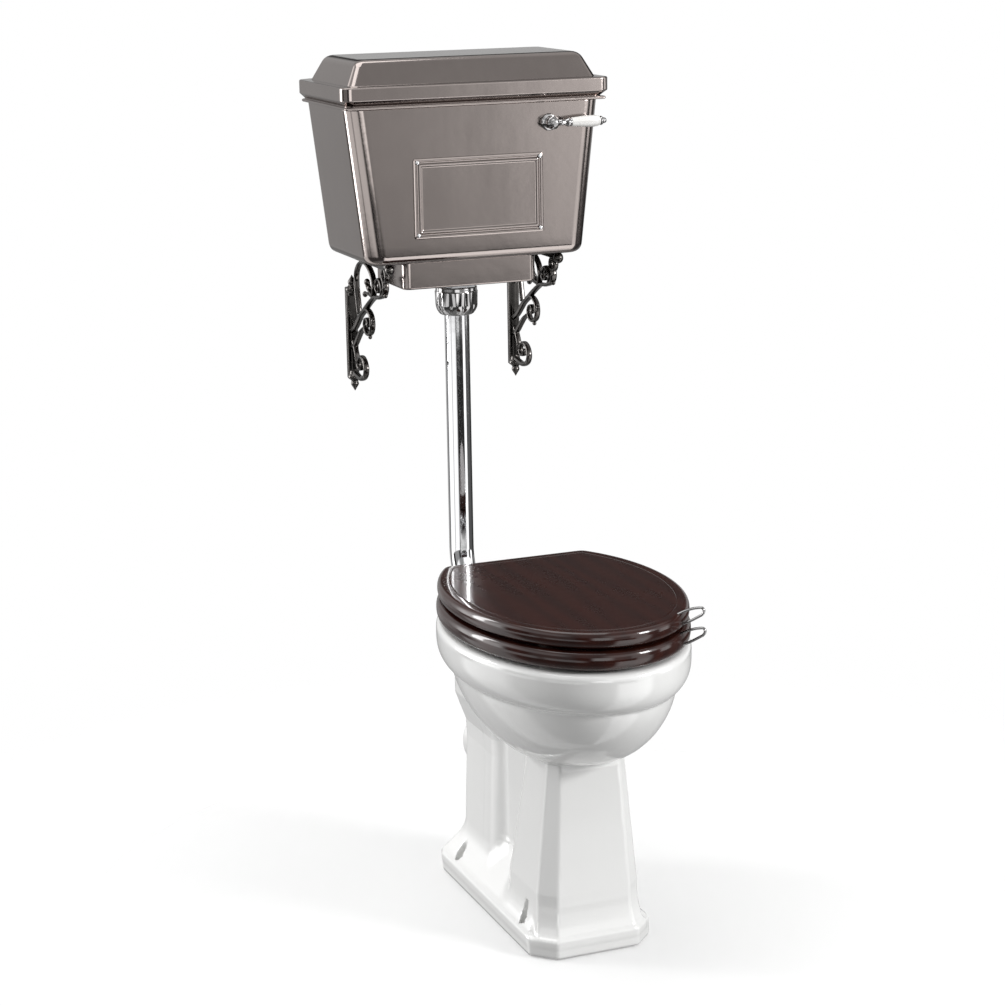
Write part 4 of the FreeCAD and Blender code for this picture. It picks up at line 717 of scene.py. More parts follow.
@dataclass
class Pan(Piece):
    """The glazed pan, as one blended form; sizes in millimetres.

    Ovals are (half width, near, far). An ease factor brings a leaning form's field back to a slope of about one.
    """

    pitch: float = 3.7
    rim: Sizes = (168.0, -324.9, 156.9)
    rim_low: float = 390.0
    top: float = 452.0
    tuck: float = 18.0
    tuck_top: float = 434.0
    tuck_power: float = 3.0
    bowl_inset: float = 3.0
    bowl_low: float = 281.0
    bowl_power: float = 1.62
    neck: Sizes = (63.0, -187.0, -46.0)
    foot: Sizes = (94.0, 206.0, 31.0, 28.0)  # half width, half length, cut, height
    column_top: float = 290.0
    column_rear: Sizes = (-40.0, -78.0)  # at the foot, at the top
    flare_top: float = 88.0
    flare: Sizes = (60.0, 12.5, 2.6)  # height, reach, power
    face: Sizes = (56.0, 45.0)
    face_cove: float = 0.4
    front: Sizes = (191.0, 180.0)
    chamfer: Sizes = (22.0, 14.0)
    web: Sizes = (48.0, -125.0, 60.0, 325.0)  # half width, near, far, top
    trunk_y: Sizes = (25.0, 165.0)
    trunk_top: float = 446.0
    skirt: Sizes = (90.0, -165.0, 192.0, 70.0, 44.0)  # half width, near, far, height, lean
    spigot: Sizes = (200.0, 51.0, 100.0, 190.0, 38.0)  # level, radius, start, end, bore
    opening: Sizes = (112.0, -258.0, 42.0)
    throat: Sizes = (42.0, -150.0, 4.0)
    floor: float = 303.0
    trap: Sizes = (38.0, -40.0, 110.0, 100.0)  # radius, leg, low end, narrowing
    flush: Sizes = (398.0, 20.0, 29.1, 20.0, 135.0)  # level, radius, seat radius, near, seat start
    hinge: Sizes = (77.5, 112.0, 7.5)  # x, y, radius
    pocket: Sizes = (60.0, 19.0, 384.0, 428.0)  # inner x, half length, low, high
    fixing: Sizes = (76.0, 130.0, 4.5, 40.0)  # x, y, radius, high
    recess: Sizes = (58.0, 70.0, 268.0, 350.0)  # half width, near, low, high
    cavity: Sizes = (40.0, -168.0, -102.0, 200.0)  # half width, near, far, high
    heel: Sizes = (40.0, 120.0, 150.0, 136.0)  # half width, near, far, high
    bore_start: float = 95.0
    overlap: float = 8.0
    lap: float = 4.0
    proud: float = 1.0
    trunk_levels: Sizes = (27.0, 225.0, 250.0, 275.0, 295.0, 446.0)
    trunk_halves: Sizes = (66.0, 59.5, 60.5, 70.0, 77.0, 77.0)
    niche_levels: Sizes = (24.0, 62.0)
    niche_radii: Sizes = (13.5, 4.0)
    niche_span: Sizes = (25.0, 66.0)
    bowl_ease: float = 0.75
    dish_ease: float = 0.85
    skirt_ease: float = 0.82
    niche_ease: float = 0.96
    rounds: PanRounds = PanRounds()
    passes: int = 4
    least_slope: float = 0.05

    def rim_and_bowl(self, x: Array, y: Array, z: Array) -> Array:
        """Give the rim band, tucked under by a cube law, over a bowl whose half width follows a superellipse."""
        soft = self.rounds
        half, near, far = self.rim
        under = self.tuck * part_way(z, self.tuck_top, self.rim_low) ** self.tuck_power
        band = meet(oval(x, y, half - under, near + under, far - under), z - self.top, soft.rim_top)
        band = meet(band, self.rim_low - z, soft.rim_under)
        depth = part_way(z, self.rim_low, self.bowl_low)
        share = 1 - (1 - depth ** self.bowl_power) ** (1 / self.bowl_power)
        inset = self.tuck + self.bowl_inset
        sizes = [start + sign * inset + (end - start - sign * inset) * share
                 for start, end, sign in zip(self.rim, self.neck, (-1, 1, -1))]
        inside_band = slab(z, self.bowl_low, self.rim_low + soft.bowl)
        bowl = meet(self.bowl_ease * oval(x, y, *sizes), inside_band, soft.bowl)
        return join(band, bowl, soft.rim_to_bowl)

    def column(self, x: Array, y: Array, z: Array) -> Array:
        """Give the front column: flat faces with cut corners, leaning in upward and coved out at the foot."""
        soft = self.rounds
        tall, reach, power = self.flare
        rise = part_way(z, self.flare_top, self.column_top)
        cove = reach * part_way(z, self.flare_top, self.flare_top - tall) ** power
        face = between(*self.face, rise) + self.face_cove * cove
        front = between(*self.front, rise) + cove
        plan = meet(-y - front, (x - y - face - front) / math.sqrt(2), soft.column_face)
        plan = meet(plan, x - face - between(*self.chamfer, rise), soft.column)
        plan = meet(plan, y - between(*self.column_rear, rise), soft.column_rear)
        return meet(plan, slab(z, self.foot[-1] - self.overlap, self.column_top), soft.column)

    def lower_forms(self, x: Array, y: Array, z: Array) -> Array:
        """Give the foot, column, web, trunk, skirt and spigot, blended by coves."""
        soft = self.rounds
        half, long_half, cut, height = self.foot
        plan = meet(x - half, np.abs(y) - long_half, soft.foot_side)
        plan = meet(plan, (x + np.abs(y) - half - long_half + cut) / math.sqrt(2), soft.foot_cut)
        body = meet(plan, slab(z, 0.0, height), soft.foot_top)
        low = height - self.overlap
        body = join(body, self.column(x, y, z), soft.column_cove)
        half, near, far, top = self.web
        web = meet(x - half, slab(y, near, far), soft.web)
        body = join(body, meet(web, slab(z, low, top), soft.block_top), soft.web_cove)
        half = np.interp(z, self.trunk_levels, self.trunk_halves)
        trunk = meet(x - half, slab(y, *self.trunk_y), soft.trunk)
        body = join(body, meet(trunk, slab(z, low, self.trunk_top), soft.block_top), soft.trunk_cove)
        half, near, far, rise, slope = self.skirt
        lean = slope * part_way(z, height, height + rise)
        skirt = self.skirt_ease * meet(x - half + lean, slab(y, near + lean, far - lean), soft.skirt)
        body = join(body, meet(skirt, slab(z, low, height + rise), soft.skirt_top), soft.skirt_cove)
        level, radius, start, end, _ = self.spigot
        pipe = meet(np.hypot(x, z - level) - radius, slab(y, start, end), soft.spigot)
        return join(body, pipe, soft.spigot_cove)

    def water_way(self, body: Array, x: Array, y: Array, z: Array) -> Array:
        """Take out the dish (a quarter-circle law in depth), the trap, the outlet and the flush inlet."""
        soft = self.rounds
        share = 1 - np.sqrt(1 - part_way(z, self.top + self.proud, self.floor) ** 2)
        sizes = [between(start, end, share) for start, end in zip(self.opening, self.throat)]
        dish = meet(self.dish_ease * oval(x, y, *sizes), self.floor - z, soft.dish_floor)
        body = carve(body, dish, soft.dish_lip)
        radius, leg, low, narrowing = self.trap
        narrow = part_way(z, self.floor, self.floor - narrowing)
        ends = (radius, leg - radius, leg + radius)
        sizes = [between(start, end, narrow) for start, end in zip(self.throat, ends)]
        trap = meet(oval(x, y, *sizes), slab(z, low, self.floor + self.lap), soft.trap)
        body = carve(body, trap, soft.trap_lip)
        level, _, _, _, bore = self.spigot
        body = carve(body, np.maximum(np.hypot(x, z - level) - bore, self.bore_start - y), soft.bore_lip)
        level, way, seat, near, start = self.flush
        across = np.hypot(x, z - level)
        body = carve(body, np.maximum(across - way, slab(y, near, start + self.lap)), soft.flush_lip)
        return carve(body, np.maximum(across - seat, start - y), soft.bore_lip)

    def fixings(self, body: Array, x: Array, y: Array, z: Array) -> Array:
        """Take out the hinge holes and pockets, the floor screw holes and niches, and the casting's cavities."""
        soft = self.rounds
        at_x, at_y, hole = self.hinge
        inner, half, low, high = self.pocket
        away = np.hypot(x - at_x, y - at_y)
        body = carve(body, np.maximum(away - hole, high - self.overlap - z), soft.hinge_lip)
        pocket = meet(meet(inner - x, np.abs(y - at_y) - half, soft.pocket), slab(z, low, high), soft.pocket)
        body = carve(body, pocket, soft.pocket_lip)
        at_x, at_y, hole, high = self.fixing
        away = np.hypot(x - at_x, np.abs(y) - at_y)
        body = carve(body, np.maximum(away - hole, z - high), soft.screw_lip)
        niche = self.niche_ease * (away - np.interp(z, self.niche_levels, self.niche_radii))
        body = carve(body, np.maximum(niche, slab(z, *self.niche_span)), soft.pocket_lip)
        half, near, low, high = self.recess
        recess = meet(meet(x - half, near - y, soft.recess), slab(z, low, high), soft.recess)
        body = carve(body, recess, soft.recess_lip)
        for half, near, far, high in (self.cavity, self.heel):
            cavity = meet(x - half, slab(y, near, far), soft.cavity)
            body = carve(body, meet(cavity, z - high, soft.cavity_top), soft.cavity_lip)
        return body

    def field(self, points: Array) -> Array:
        """Give the signed distance, about, from points to the pan's surface."""
        x, y, z = np.abs(points[..., 0]), points[..., 1], points[..., 2]
        body = join(self.lower_forms(x, y, z), self.rim_and_bowl(x, y, z), self.rounds.bowl_to_body)
        return self.fixings(self.water_way(body, x, y, z), x, y, z)

    def slope(self, points: Array) -> Array:
        """Give the field's gradient by differences over a tenth of a millimetre."""
        reach = 0.1
        steps = np.eye(3) * (reach / 2)
        return np.stack([self.field(points + step) - self.field(points - step) for step in steps], axis=-1) / reach

    def build(self) -> None:
        """Wrap the field in a net, then draw each vertex onto the surface along the gradient."""
        margin = 2 * self.pitch
        low = np.array([-self.rim[0], self.rim[1], 0.0]) - margin
        high = np.array([self.rim[0], self.foot[1], self.top]) + margin
        axes = [np.arange(a, b, self.pitch) for a, b in zip(low, high)]
        grid = np.stack(np.meshgrid(*axes, indexing="ij"), axis=-1)
        points, quads = surface_net(self.field(grid), low, self.pitch)
        for _ in range(self.passes):
            gradient = self.slope(points)
            square = np.maximum((gradient ** 2).sum(-1), self.least_slope)
            step = -self.field(points)[:, None] * gradient / square[:, None]
            length = np.linalg.norm(step, axis=1, keepdims=True)
            points = points + step * np.minimum(1.0, 0.5 * self.pitch / np.maximum(length, TINY))
        points[:, 2] = np.clip(points[:, 2], 0.0, self.top)
        gradient = self.slope(points)
        normals = gradient / np.maximum(np.linalg.norm(gradient, axis=1, keepdims=True), TINY)
        skin = Skin().add_faces(points * MM, quads, np.zeros((0, 3), int))
        self.place(skin, "pan_china", "glazed_china", "root", "pan_rim", "pan_shelf", "pan_bowl", "pan_column",
                   "pan_trunk", normals=normals)


@dataclass
class SeatOutline:
    """Plan of a seat board: an oval cut straight at the rear, with rounded rear corners; sizes in metres."""

    half_width: float
    front: float
    centre: float
    rear: float
    corner: float = 0.02
    steps: int = 84
    fine_steps: int = 2000
    halvings: int = 40
    corner_steps: int = 14
    rear_steps: int = 8

    def trace(self) -> tuple[Array, Array]:
        """Give the outline's points and outward normals, in order.

        The corner circle of radius r sits r short of the rear line, as far out as its distance to the oval is r.

        Returns:
            Points and unit normals in the plan.
        """
        length = self.centre - self.front
        turn = np.linspace(0.0, np.pi / 2, self.fine_steps)
        curve = np.stack([self.half_width * np.cos(turn), self.centre + length * np.sin(turn)], axis=1)
        level = self.rear - self.corner
        low, high = 0.0, self.half_width
        for _ in range(self.halvings):
            middle = (low + high) / 2
            gap = np.linalg.norm(curve - (middle, level), axis=1)
            inside = (middle / self.half_width) ** 2 + ((level - self.centre) / length) ** 2 < 1
            low, high = (middle, high) if inside and gap.min() > self.corner else (low, middle)
        nearest = np.linalg.norm(curve - (low, level), axis=1).argmin()
        meeting = curve[nearest] - (low, level)
        bend = np.linspace(np.pi / 2, math.atan2(meeting[1], meeting[0]), self.corner_steps)
        arc_normal = np.stack([np.cos(bend), np.sin(bend)], axis=1)
        arc = self.corner * arc_normal + (low, level)
        sweep_angle = np.linspace(turn[nearest], -np.pi / 2, self.steps)[1:]
        oval_points = np.stack([self.half_width * np.cos(sweep_angle),
                                self.centre + length * np.sin(sweep_angle)], axis=1)
        oval_normal = np.stack([np.cos(sweep_angle) / self.half_width, np.sin(sweep_angle) / length], axis=1)
        oval_normal /= np.linalg.norm(oval_normal, axis=1, keepdims=True)
        count = self.rear_steps
        line = np.stack([np.linspace(0.0, low, count, endpoint=False), np.full(count, self.rear)], axis=1)
        points = np.concatenate([line, arc, oval_points])
        normals = np.concatenate([np.tile([0.0, 1.0], (count, 1)), arc_normal, oval_normal])
        mirror = np.array([-1.0, 1.0])
        points, normals = (np.concatenate([half, half[-2:0:-1] * mirror]) for half in (points, normals))
        return points, normals


@dataclass
class Seat(Piece):
    """The wooden ring and lid with their wire handles and rubber buffers; sizes in metres."""

    centre: float = -0.084
    hole: Sizes = (0.110, -0.254, 0.042)  # half width, near, far
    edge: float = 0.0125
    bead: float = 0.0005
    wire: float = 0.0019
    nose: float = 0.72
    lift: float = 0.4
    belly: float = 0.5
    buffer_gap: float = 0.0002
    line: float = 0.0165
    land: float = 0.0195
    shrink: Sizes = (0.12, 0.5, 0.85)
    bend_steps: int = 25
    leg_steps: int = 10

    def edge_rows(self, low: float, high: float) -> Array:
        """Give a board edge's rows (inset, height): full rounds above and below, and a fine sunk line round the top."""
        line, sunk = self.line, high - self.bead
        return rounded_line([(0.019, low, 0), (0.0, low, self.edge), (0.0, high, self.edge), (line, high, 0),
                             (line + 0.0006, sunk, 0), (line + 0.0014, sunk, 0), (line + 0.002, high, 0),
                             (self.land, high, 0)], 12)

    def board(self, box: Box) -> tuple[Array, Array]:
        """Trace a board's outline from its box and stack it along the edge rows.

        Args:
            box: box of the CAD node.

        Returns:
            Points of the outline in the plan, and the grid of the edge.
        """
        points, normals = SeatOutline(box.high[0], box.low[1], self.centre, box.high[1]).trace()
        inset, level = self.edge_rows(box.low[2], box.high[2]).T
        return points, stack(points - inset[:, None, None] * normals, level)

    def build_lid(self) -> None:
        """Make the lid as inset outlines stacked along its edge rows, closed by shrinking rings."""
        box = Box.of("seat_lid")
        _, grid = self.board(box)
        hub, shrink = np.array([0.0, self.centre]), np.array(self.shrink)
        bottom = stack(hub + shrink[:, None, None] * (grid[0, :, :2] - hub), np.full(len(shrink), box.low[2]))
        top = stack(hub + shrink[::-1, None, None] * (grid[-1, :, :2] - hub), np.full(len(shrink), box.high[2]))
        self.place(Skin().add(np.concatenate([bottom, grid, top])), "lid_board", "mahogany", "lid", "seat_lid")

    def build_ring(self) -> None:
        """Make the ring: the outer edge rows, then the hole's rounded edge, matched to them by direction."""
        box = Box.of("seat_ring")
        points, outer = self.board(box)
        half, near, far = self.hole
        middle, length = np.array([0.0, (near + far) / 2]), (far - near) / 2
        turn = np.arctan2((points - middle)[:, 1] / length, points[:, 0] / half)
        rim = np.stack([half * np.cos(turn), length * np.sin(turn)], axis=1)
        facing = np.stack([np.cos(turn) / half, np.sin(turn) / length], axis=1)
        facing /= np.linalg.norm(facing, axis=1, keepdims=True)
        low, high = box.low[2], box.high[2]
        inset, level = rounded_line([(0.02, high, 0), (0.0, high, self.edge), (0.0, low, self.edge),
                                     (0.02, low, 0)], 12).T
        inner = stack(middle + rim + inset[:, None, None] * facing, level)
        skin = Skin().add(np.concatenate([outer, inner]), closed=True)
        self.place(skin, "ring_board", "mahogany", "ring", "seat_ring")

    def build_handle(self, node: str, body: str) -> None:
        """Bend a handle on the box's diagonal: two legs and a half circle, swelled by 1 + b sin(pi t), sloping up."""
        box = Box.of(node)
        lean = self.wire * math.sqrt(0.5)
        start = np.array([box.low[0] + lean, box.high[1] - lean])
        tip = np.array([box.high[0] - self.wire, box.low[1] + self.wire])
        reach = np.linalg.norm(tip - start)
        out = (tip - start) / reach
        half = box.size[2] / 2 - self.wire
        nose = self.nose * half
        turn = np.linspace(-np.pi / 2, np.pi / 2, self.bend_steps)
        leg = np.linspace(0.0, reach - nose, self.leg_steps, endpoint=False)
        run = np.concatenate([leg, reach - nose + nose * np.cos(turn), leg[::-1]])
        low_leg = np.linspace(-half, half - 2 * nose, self.leg_steps, endpoint=False)
        rise = np.concatenate([low_leg, half - nose + nose * np.sin(turn), np.full(len(leg), half)])
        rise = rise * (1 + self.belly * np.sin(np.pi * run / reach)) + self.lift * run
        path = np.concatenate([start + run[:, None] * out, box.middle[2] + rise[:, None]], axis=1)
        grid = sweep(path, (out[1], -out[0], 0.0), self.wire, self.wire)
        # the handle wire takes the darker chrome copy: painted shade
        self.place(Skin().add(grid), node + "_wire", "chrome", body, node, look="dark_chrome")

    def build_buffer(self, node: str, body: str) -> None:
        """Turn a round buffer with soft edges, a hair clear of what it rests on."""
        box = Box.of(node)
        low = box.low[2] + self.buffer_gap
        radius, height = box.size[0] / 2, box.high[2] - low
        profile = rounded_line([
            (radius * 0.3, 0.0, 0), (radius * 0.88, 0.0, height * 0.3), (radius, height * 0.5, 0.001),
            (radius * 0.94, height, height * 0.3), (radius * 0.3, height, 0)])
        grid = revolve(profile, (*box.middle[:2], low), Axis.Z, 32)
        self.place(Skin().add(grid), node + "_pad", "buffer_rubber", body, node)

    def build(self) -> None:
        """Make both boards with their fittings."""
        self.build_lid()
        self.build_ring()
        for board in ("ring", "lid"):
            self.build_handle(board + "_handle", board)
            for end in ENDS:
                for side in SIDES:
                    self.build_buffer(f"{board}_buffer_{end}_{side}", board)


@dataclass
class Hinges(Piece):
    """The turned hinge pillars and the rod with its end knobs; sizes in metres."""

    rod: float = 0.004
    bore: float = 0.0041
    stud: float = 0.0058
    waist: float = 0.0056
    eye_half: float = 0.0055
    knob_length: float = 0.007

    def build_pillar(self, side: str) -> None:
        """Turn one pillar: stud, flange, waisted stem, and an eye round the rod."""
        node = f"hinge_pillar_{side}"
        box, pad, rod = Box.of(node), Box.of(f"hinge_pad_{side}"), Box.of("hinge_rod")
        x, y = box.middle[:2]
        line = rod.middle[2]
        flange = pad.size[0] / 2
        base, low = pad.high[2], box.low[2]
        eye = box.high[2] - line
        stem = rounded_line([
            (0.002, low, 0), (self.stud, low, 0.0008), (self.stud, base, 0), (flange, base, 0.0006),
            (flange, base + 0.0025, 0.0012), (flange * 0.72, base + 0.0035, 0.001),
            (self.waist, line - eye * 0.95, 0.003), (self.waist, line - self.bore - 0.0012, 0),
            (0.001, line - self.bore - 0.001, 0)])
        width = self.eye_half
        bead = rounded_line([(self.bore, -width, 0), (eye * 0.8, -width, 0.001), (eye, -width * 0.6, 0.002),
                             (eye, width * 0.6, 0.002), (eye * 0.8, width, 0.001), (self.bore, width, 0)])
        skin = Skin().add(revolve(stem, (x, y, 0.0), Axis.Z, 40))
        skin.add(revolve(bead, (x, y, line), Axis.X, 40), closed=True)
        self.place(skin, f"{node}_turned", "chrome", "root", node)

    def build(self) -> None:
        """Make both pillars and the rod."""
        for side in SIDES:
            self.build_pillar(side)
        box = Box.of("hinge_rod")
        half, knob = box.high[0], box.size[2] / 2
        end = half - self.knob_length
        profile = rounded_line([
            (0.001, -half, 0), (knob * 0.6, -half, 0.001), (knob, -end - 0.003, 0.003), (knob * 0.75, -end, 0.0006),
            (self.rod, -end, 0), (self.rod, end, 0), (knob * 0.75, end, 0.0006), (knob, end + 0.003, 0.003),
            (knob * 0.6, half, 0.001), (0.001, half, 0)])
        grid = revolve(profile, (0.0, box.middle[1], box.middle[2]), Axis.X, 32)
        self.place(Skin().add(grid), "hinge_rod_turned", "chrome", "root", "hinge_rod")


@dataclass
class Cistern(Piece):
    """The tank with its plinth, the hipped cover and the plaque; sizes in metres."""

    base_half: float = 0.1725
    top_half: float = 0.199
    corner: float = 0.028
    base_round: float = 0.016
    wall: float = 0.004
    plinth_half: float = 0.1065
    plinth_depth: float = 0.132
    plinth_corner: float = 0.012
    cove: Sizes = (0.013, 0.009)  # height, reach
    band: float = 0.020
    hip: Sizes = (0.016, 0.034)  # foot, top, as insets
    room: float = 0.0065
    lip: float = 0.008
    lip_thick: float = 0.0035
    boss: Sizes = (0.019, 0.018)  # radius, length
    plaque_corner: float = 0.004

    def build_tank(self) -> None:
        """Make the tank: rectangles that widen evenly upward, rolled at the bottom edge and open at the top."""
        box = Box.of("cistern_tank")
        pipe = Box.of("pipe_nut").middle[1]
        base, top = Box.of("bracket_left").high[2], box.high[2]
        rows = rounded_line([
            (0.05, base, 0), (0.0, base, self.base_round), (0.0, base + 0.03, 0), (0.0, top - 0.004, 0),
            (0.0, top, 0.0012), (self.wall, top, 0.0012), (self.wall, top - 0.004, 0),
            (self.wall, base + self.wall, self.base_round - self.wall), (0.05, base + self.wall, 0)], 10)
        inset, level = rows.T
        half = self.base_half + (self.top_half - self.base_half) * (level - base) / (top - base) - inset
        corner = np.maximum(self.corner - inset, 0.006)
        shell = rounded_rects(half, box.low[1] + inset, box.high[1] - inset, corner, level, 10)
        under = box.low[2]
        rows = rounded_line([(0.03, under, 0), (0.0, under, 0.003), (0.0, base - 0.004, 0), (0.0, base + 0.002, 0),
                             (0.03, base + 0.002, 0)])
        inset, level = rows.T
        near, far = pipe - self.plinth_depth / 2, pipe + self.plinth_depth / 2
        plinth = rounded_rects(self.plinth_half - inset, near + inset, far - inset,
                               np.maximum(self.plinth_corner - inset, 0.003), level, 10)
        valve = Box.of("valve_backnut")
        radius, long = self.boss
        boss = rounded_line([(0.004, -long, 0), (radius, -long, 0.001), (radius, 0.0, 0.0015), (0.004, 0.0, 0)])
        skin = Skin().add(shell).add(plinth)
        skin.add(revolve(boss, (valve.low[0], *valve.middle[1:]), Axis.X, 40))
        self.place(skin, "tank_shell", "cistern_metal", "root", "cistern_tank")

    def build_cover(self) -> None:
        """Make the cover: room and lip inside, then bead, cove, upright band and hip outside, flush with the wall."""
        box = Box.of("cistern_lid")
        tank = Box.of("cistern_tank").high[2]
        out, top = box.high[0], box.high[2]
        cove_high, reach = self.cove
        band_low = tank + cove_high
        band_top = band_low + self.band
        inner, lip = reach + 0.0100, tank - self.lip
        hip, hip_top = self.hip
        rows = rounded_line([
            (0.08, top - self.room, 0), (0.045, top - self.room, 0.003), (0.030, band_top - 0.004, 0.004),
            (inner + self.lip_thick, tank + 0.004, 0.001), (inner + self.lip_thick, lip, 0.0006), (inner, lip, 0.0006),
            (inner, tank, 0), (reach - 0.0006, tank, 0.0004), (reach - 0.004, tank + 0.0006, 0.002),
            (reach - 0.004, tank + 0.0044, 0.002), (reach - 0.0004, tank + 0.005, 0.0005),
            (reach - 0.0004, tank + 0.0058, 0.0008), (0.0016, band_low - 0.0008, 0.0008),
            (0.0, band_low + 0.0005, 0.001), (0.0, band_top, 0.0024), (hip - 0.003, band_top + 0.0006, 0.0012),
            (hip - 0.0005, band_top + 0.0006, 0.0008), (hip_top, top, 0.011), (0.06, top, 0), (0.08, top, 0)], 8)
        inset, level = rows.T
        rear = np.where(inset > hip - 0.004, inset, 0.0)
        outside = np.arange(len(rows)) > len(rows) // 2
        rear = np.where(outside & (level < band_top), 0.0, rear)
        far = box.high[1] - np.where(outside, rear, inset)
        corner = np.where(outside, np.maximum(0.016 - inset * 0.2, 0.006), 0.004)
        grid = rounded_rects(out - inset, box.low[1] + inset, far, corner, level, 8)
        self.place(Skin().add(grid), "cover_shell", "cistern_metal", "cover", "cistern_lid")

    def build_plaque(self) -> None:
        """Make the bare plaque: a plate with a raised double border round a sunk field, and four domed rivets."""
        box = Box.of("plaque")
        half, thick, tall = box.size * (0.5, 1.0, 0.5)
        rows = rounded_line([
            (0.024, 0.0, 0), (0.0, 0.0, 0), (0.0, thick * 0.5, 0.0006), (0.0022, thick * 0.8, 0.0012),
            (0.0044, thick * 0.8, 0.0008), (0.0056, thick * 0.3, 0.0008), (0.0072, thick * 0.3, 0.0008),
            (0.0090, thick, 0.0016), (0.0110, thick, 0.0016), (0.0130, thick * 0.35, 0.0012),
            (0.024, thick * 0.35, 0)], 6)
        inset, level = rows.T
        corner = np.maximum(self.plaque_corner - inset * 0.3, 0.001)
        grid = rounded_rects(half - inset, -tall + inset, tall - inset, corner, level, 5)
        grid = np.stack([grid[..., 0], box.high[1] - grid[..., 2], box.middle[2] + grid[..., 1]], axis=-1)
        self.place(Skin().add(grid), "plaque_plate", "cistern_metal", "root", "plaque")
        for level in ("low", "high"):
            for side in SIDES:
                node = f"plaque_rivet_{level}_{side}"
                rivet = Box.of(node)
                radius, front = rivet.size[0] / 2, -rivet.size[1]
                dome = rounded_line([(0.0004, 0.0, 0), (radius, 0.0, 0), (radius, front * 0.45, radius * 0.3),
                                     (radius * 0.55, front, radius * 0.5), (0.0003, front, 0)])
                grid = revolve(dome, (rivet.middle[0], rivet.high[1], rivet.middle[2]), Axis.Y, 24)
                self.place(Skin().add(grid), node + "_dome", "chrome", "root", node)

    def build(self) -> None:
        """Make the tank, the cover and the plaque."""
        self.build_tank()
        self.build_cover()
        self.build_plaque()


@dataclass
class FlushPipe(Piece):
    """The bent chrome pipe, its fluted nut and the rubber cone; sizes in metres."""

    radius: float = 0.019
    bend: float = 0.078
    flutes: int = 10
    flute_depth: float = 0.0034
    flute_power: float = 0.7
    nut_gap: float = 0.0004
    cone_gap: float = 0.0003
    plug: float = 0.0285

    def build_pipe(self) -> None:
        """Sweep the pipe: level out of the cone, a quarter bend, then straight up into the nut."""
        box, cone = Box.of("flush_pipe"), Box.of("flush_cone")
        y = Box.of("pipe_nut").middle[1]
        level = cone.middle[2]
        turn = np.linspace(-np.pi / 2, 0.0, 28)
        run = np.linspace(box.low[1], y - self.bend, 6, endpoint=False)
        rise = np.linspace(level + self.bend, box.high[2], 13)[1:]
        along = np.concatenate([run, y - self.bend + self.bend * np.cos(turn), np.full(len(rise), y)])
        height = np.concatenate([np.full(len(run), level), level + self.bend + self.bend * np.sin(turn), rise])
        path = np.stack([np.zeros_like(along), along, height], axis=1)
        grid = sweep(path, (1.0, 0.0, 0.0), self.radius, self.radius, 48)
        self.place(Skin().add(grid), "flush_pipe_tube", "chrome", "root", "flush_pipe")

    def build_nut(self) -> None:
        """Make the nut: r = R - d (1 - |cos(n t / 2)|^0.7) between plain collars, rounded below."""
        box = Box.of("pipe_nut")
        outer, height = box.size[1] / 2, box.size[2]
        inner = self.radius + self.nut_gap
        rows = rounded_line([
            (inner, 0.0, 0), (outer * 0.74, 0.0, 0.003), (outer * 0.97, height * 0.24, 0.006),
            (outer * 0.97, height * 0.82, 0), (outer * 0.94, height * 0.86, 0.001),
            (outer * 0.94, height * 0.97, 0.0006), (outer * 0.9, height, 0.0008), (inner, height, 0)], 9)
        grid = revolve(rows, (*box.middle[:2], box.low[2]), Axis.Z, 160)
        offset = grid[..., :2] - box.middle[:2]
        angle = np.arctan2(offset[..., 1], offset[..., 0])
        lobe = 1 - np.abs(np.cos(self.flutes * angle / 2)) ** self.flute_power
        share = rows[:, 1] / height
        strength = np.interp(share, (0.05, 0.3, 0.76, 0.82), (0.0, 1.0, 1.0, 0.0)) * (rows[:, 0] > outer * 0.6)
        scale = 1 - self.flute_depth * strength[:, None] * lobe / rows[:, 0, None]
        grid[..., :2] = box.middle[:2] + offset * scale[..., None]
        # the nut takes the darker chrome copy: painted shade
        self.place(Skin().add(grid, closed=True), "pipe_nut_fluted", "chrome", "root", "pipe_nut",
                   look="dark_chrome")

    def build_cone(self) -> None:
        """Turn the rubber cone: a ribbed plug in the pan and a rolled lip round the pipe."""
        box = Box.of("flush_cone")
        length, outer = box.size[1], box.size[0] / 2
        inner = self.radius + self.cone_gap
        rows = rounded_line([
            (inner, 0.0, 0), (self.plug, 0.0, 0.001), (self.plug, length * 0.7, 0.0006), (outer, length * 0.72, 0.001),
            (outer, length * 0.84, 0.002), (inner + 0.006, length * 0.9, 0.002), (inner + 0.0035, length, 0.0016),
            (inner, length, 0)])
        grid = revolve(rows, (box.middle[0], box.low[1], box.middle[2]), Axis.Y, 48)
        self.place(Skin().add(grid, closed=True), "flush_cone_rolled", "seal_rubber", "root", "flush_cone")

    def build(self) -> None:
        """Make the pipe, the nut and the cone."""
        self.build_pipe()
        self.build_nut()
        self.build_cone()


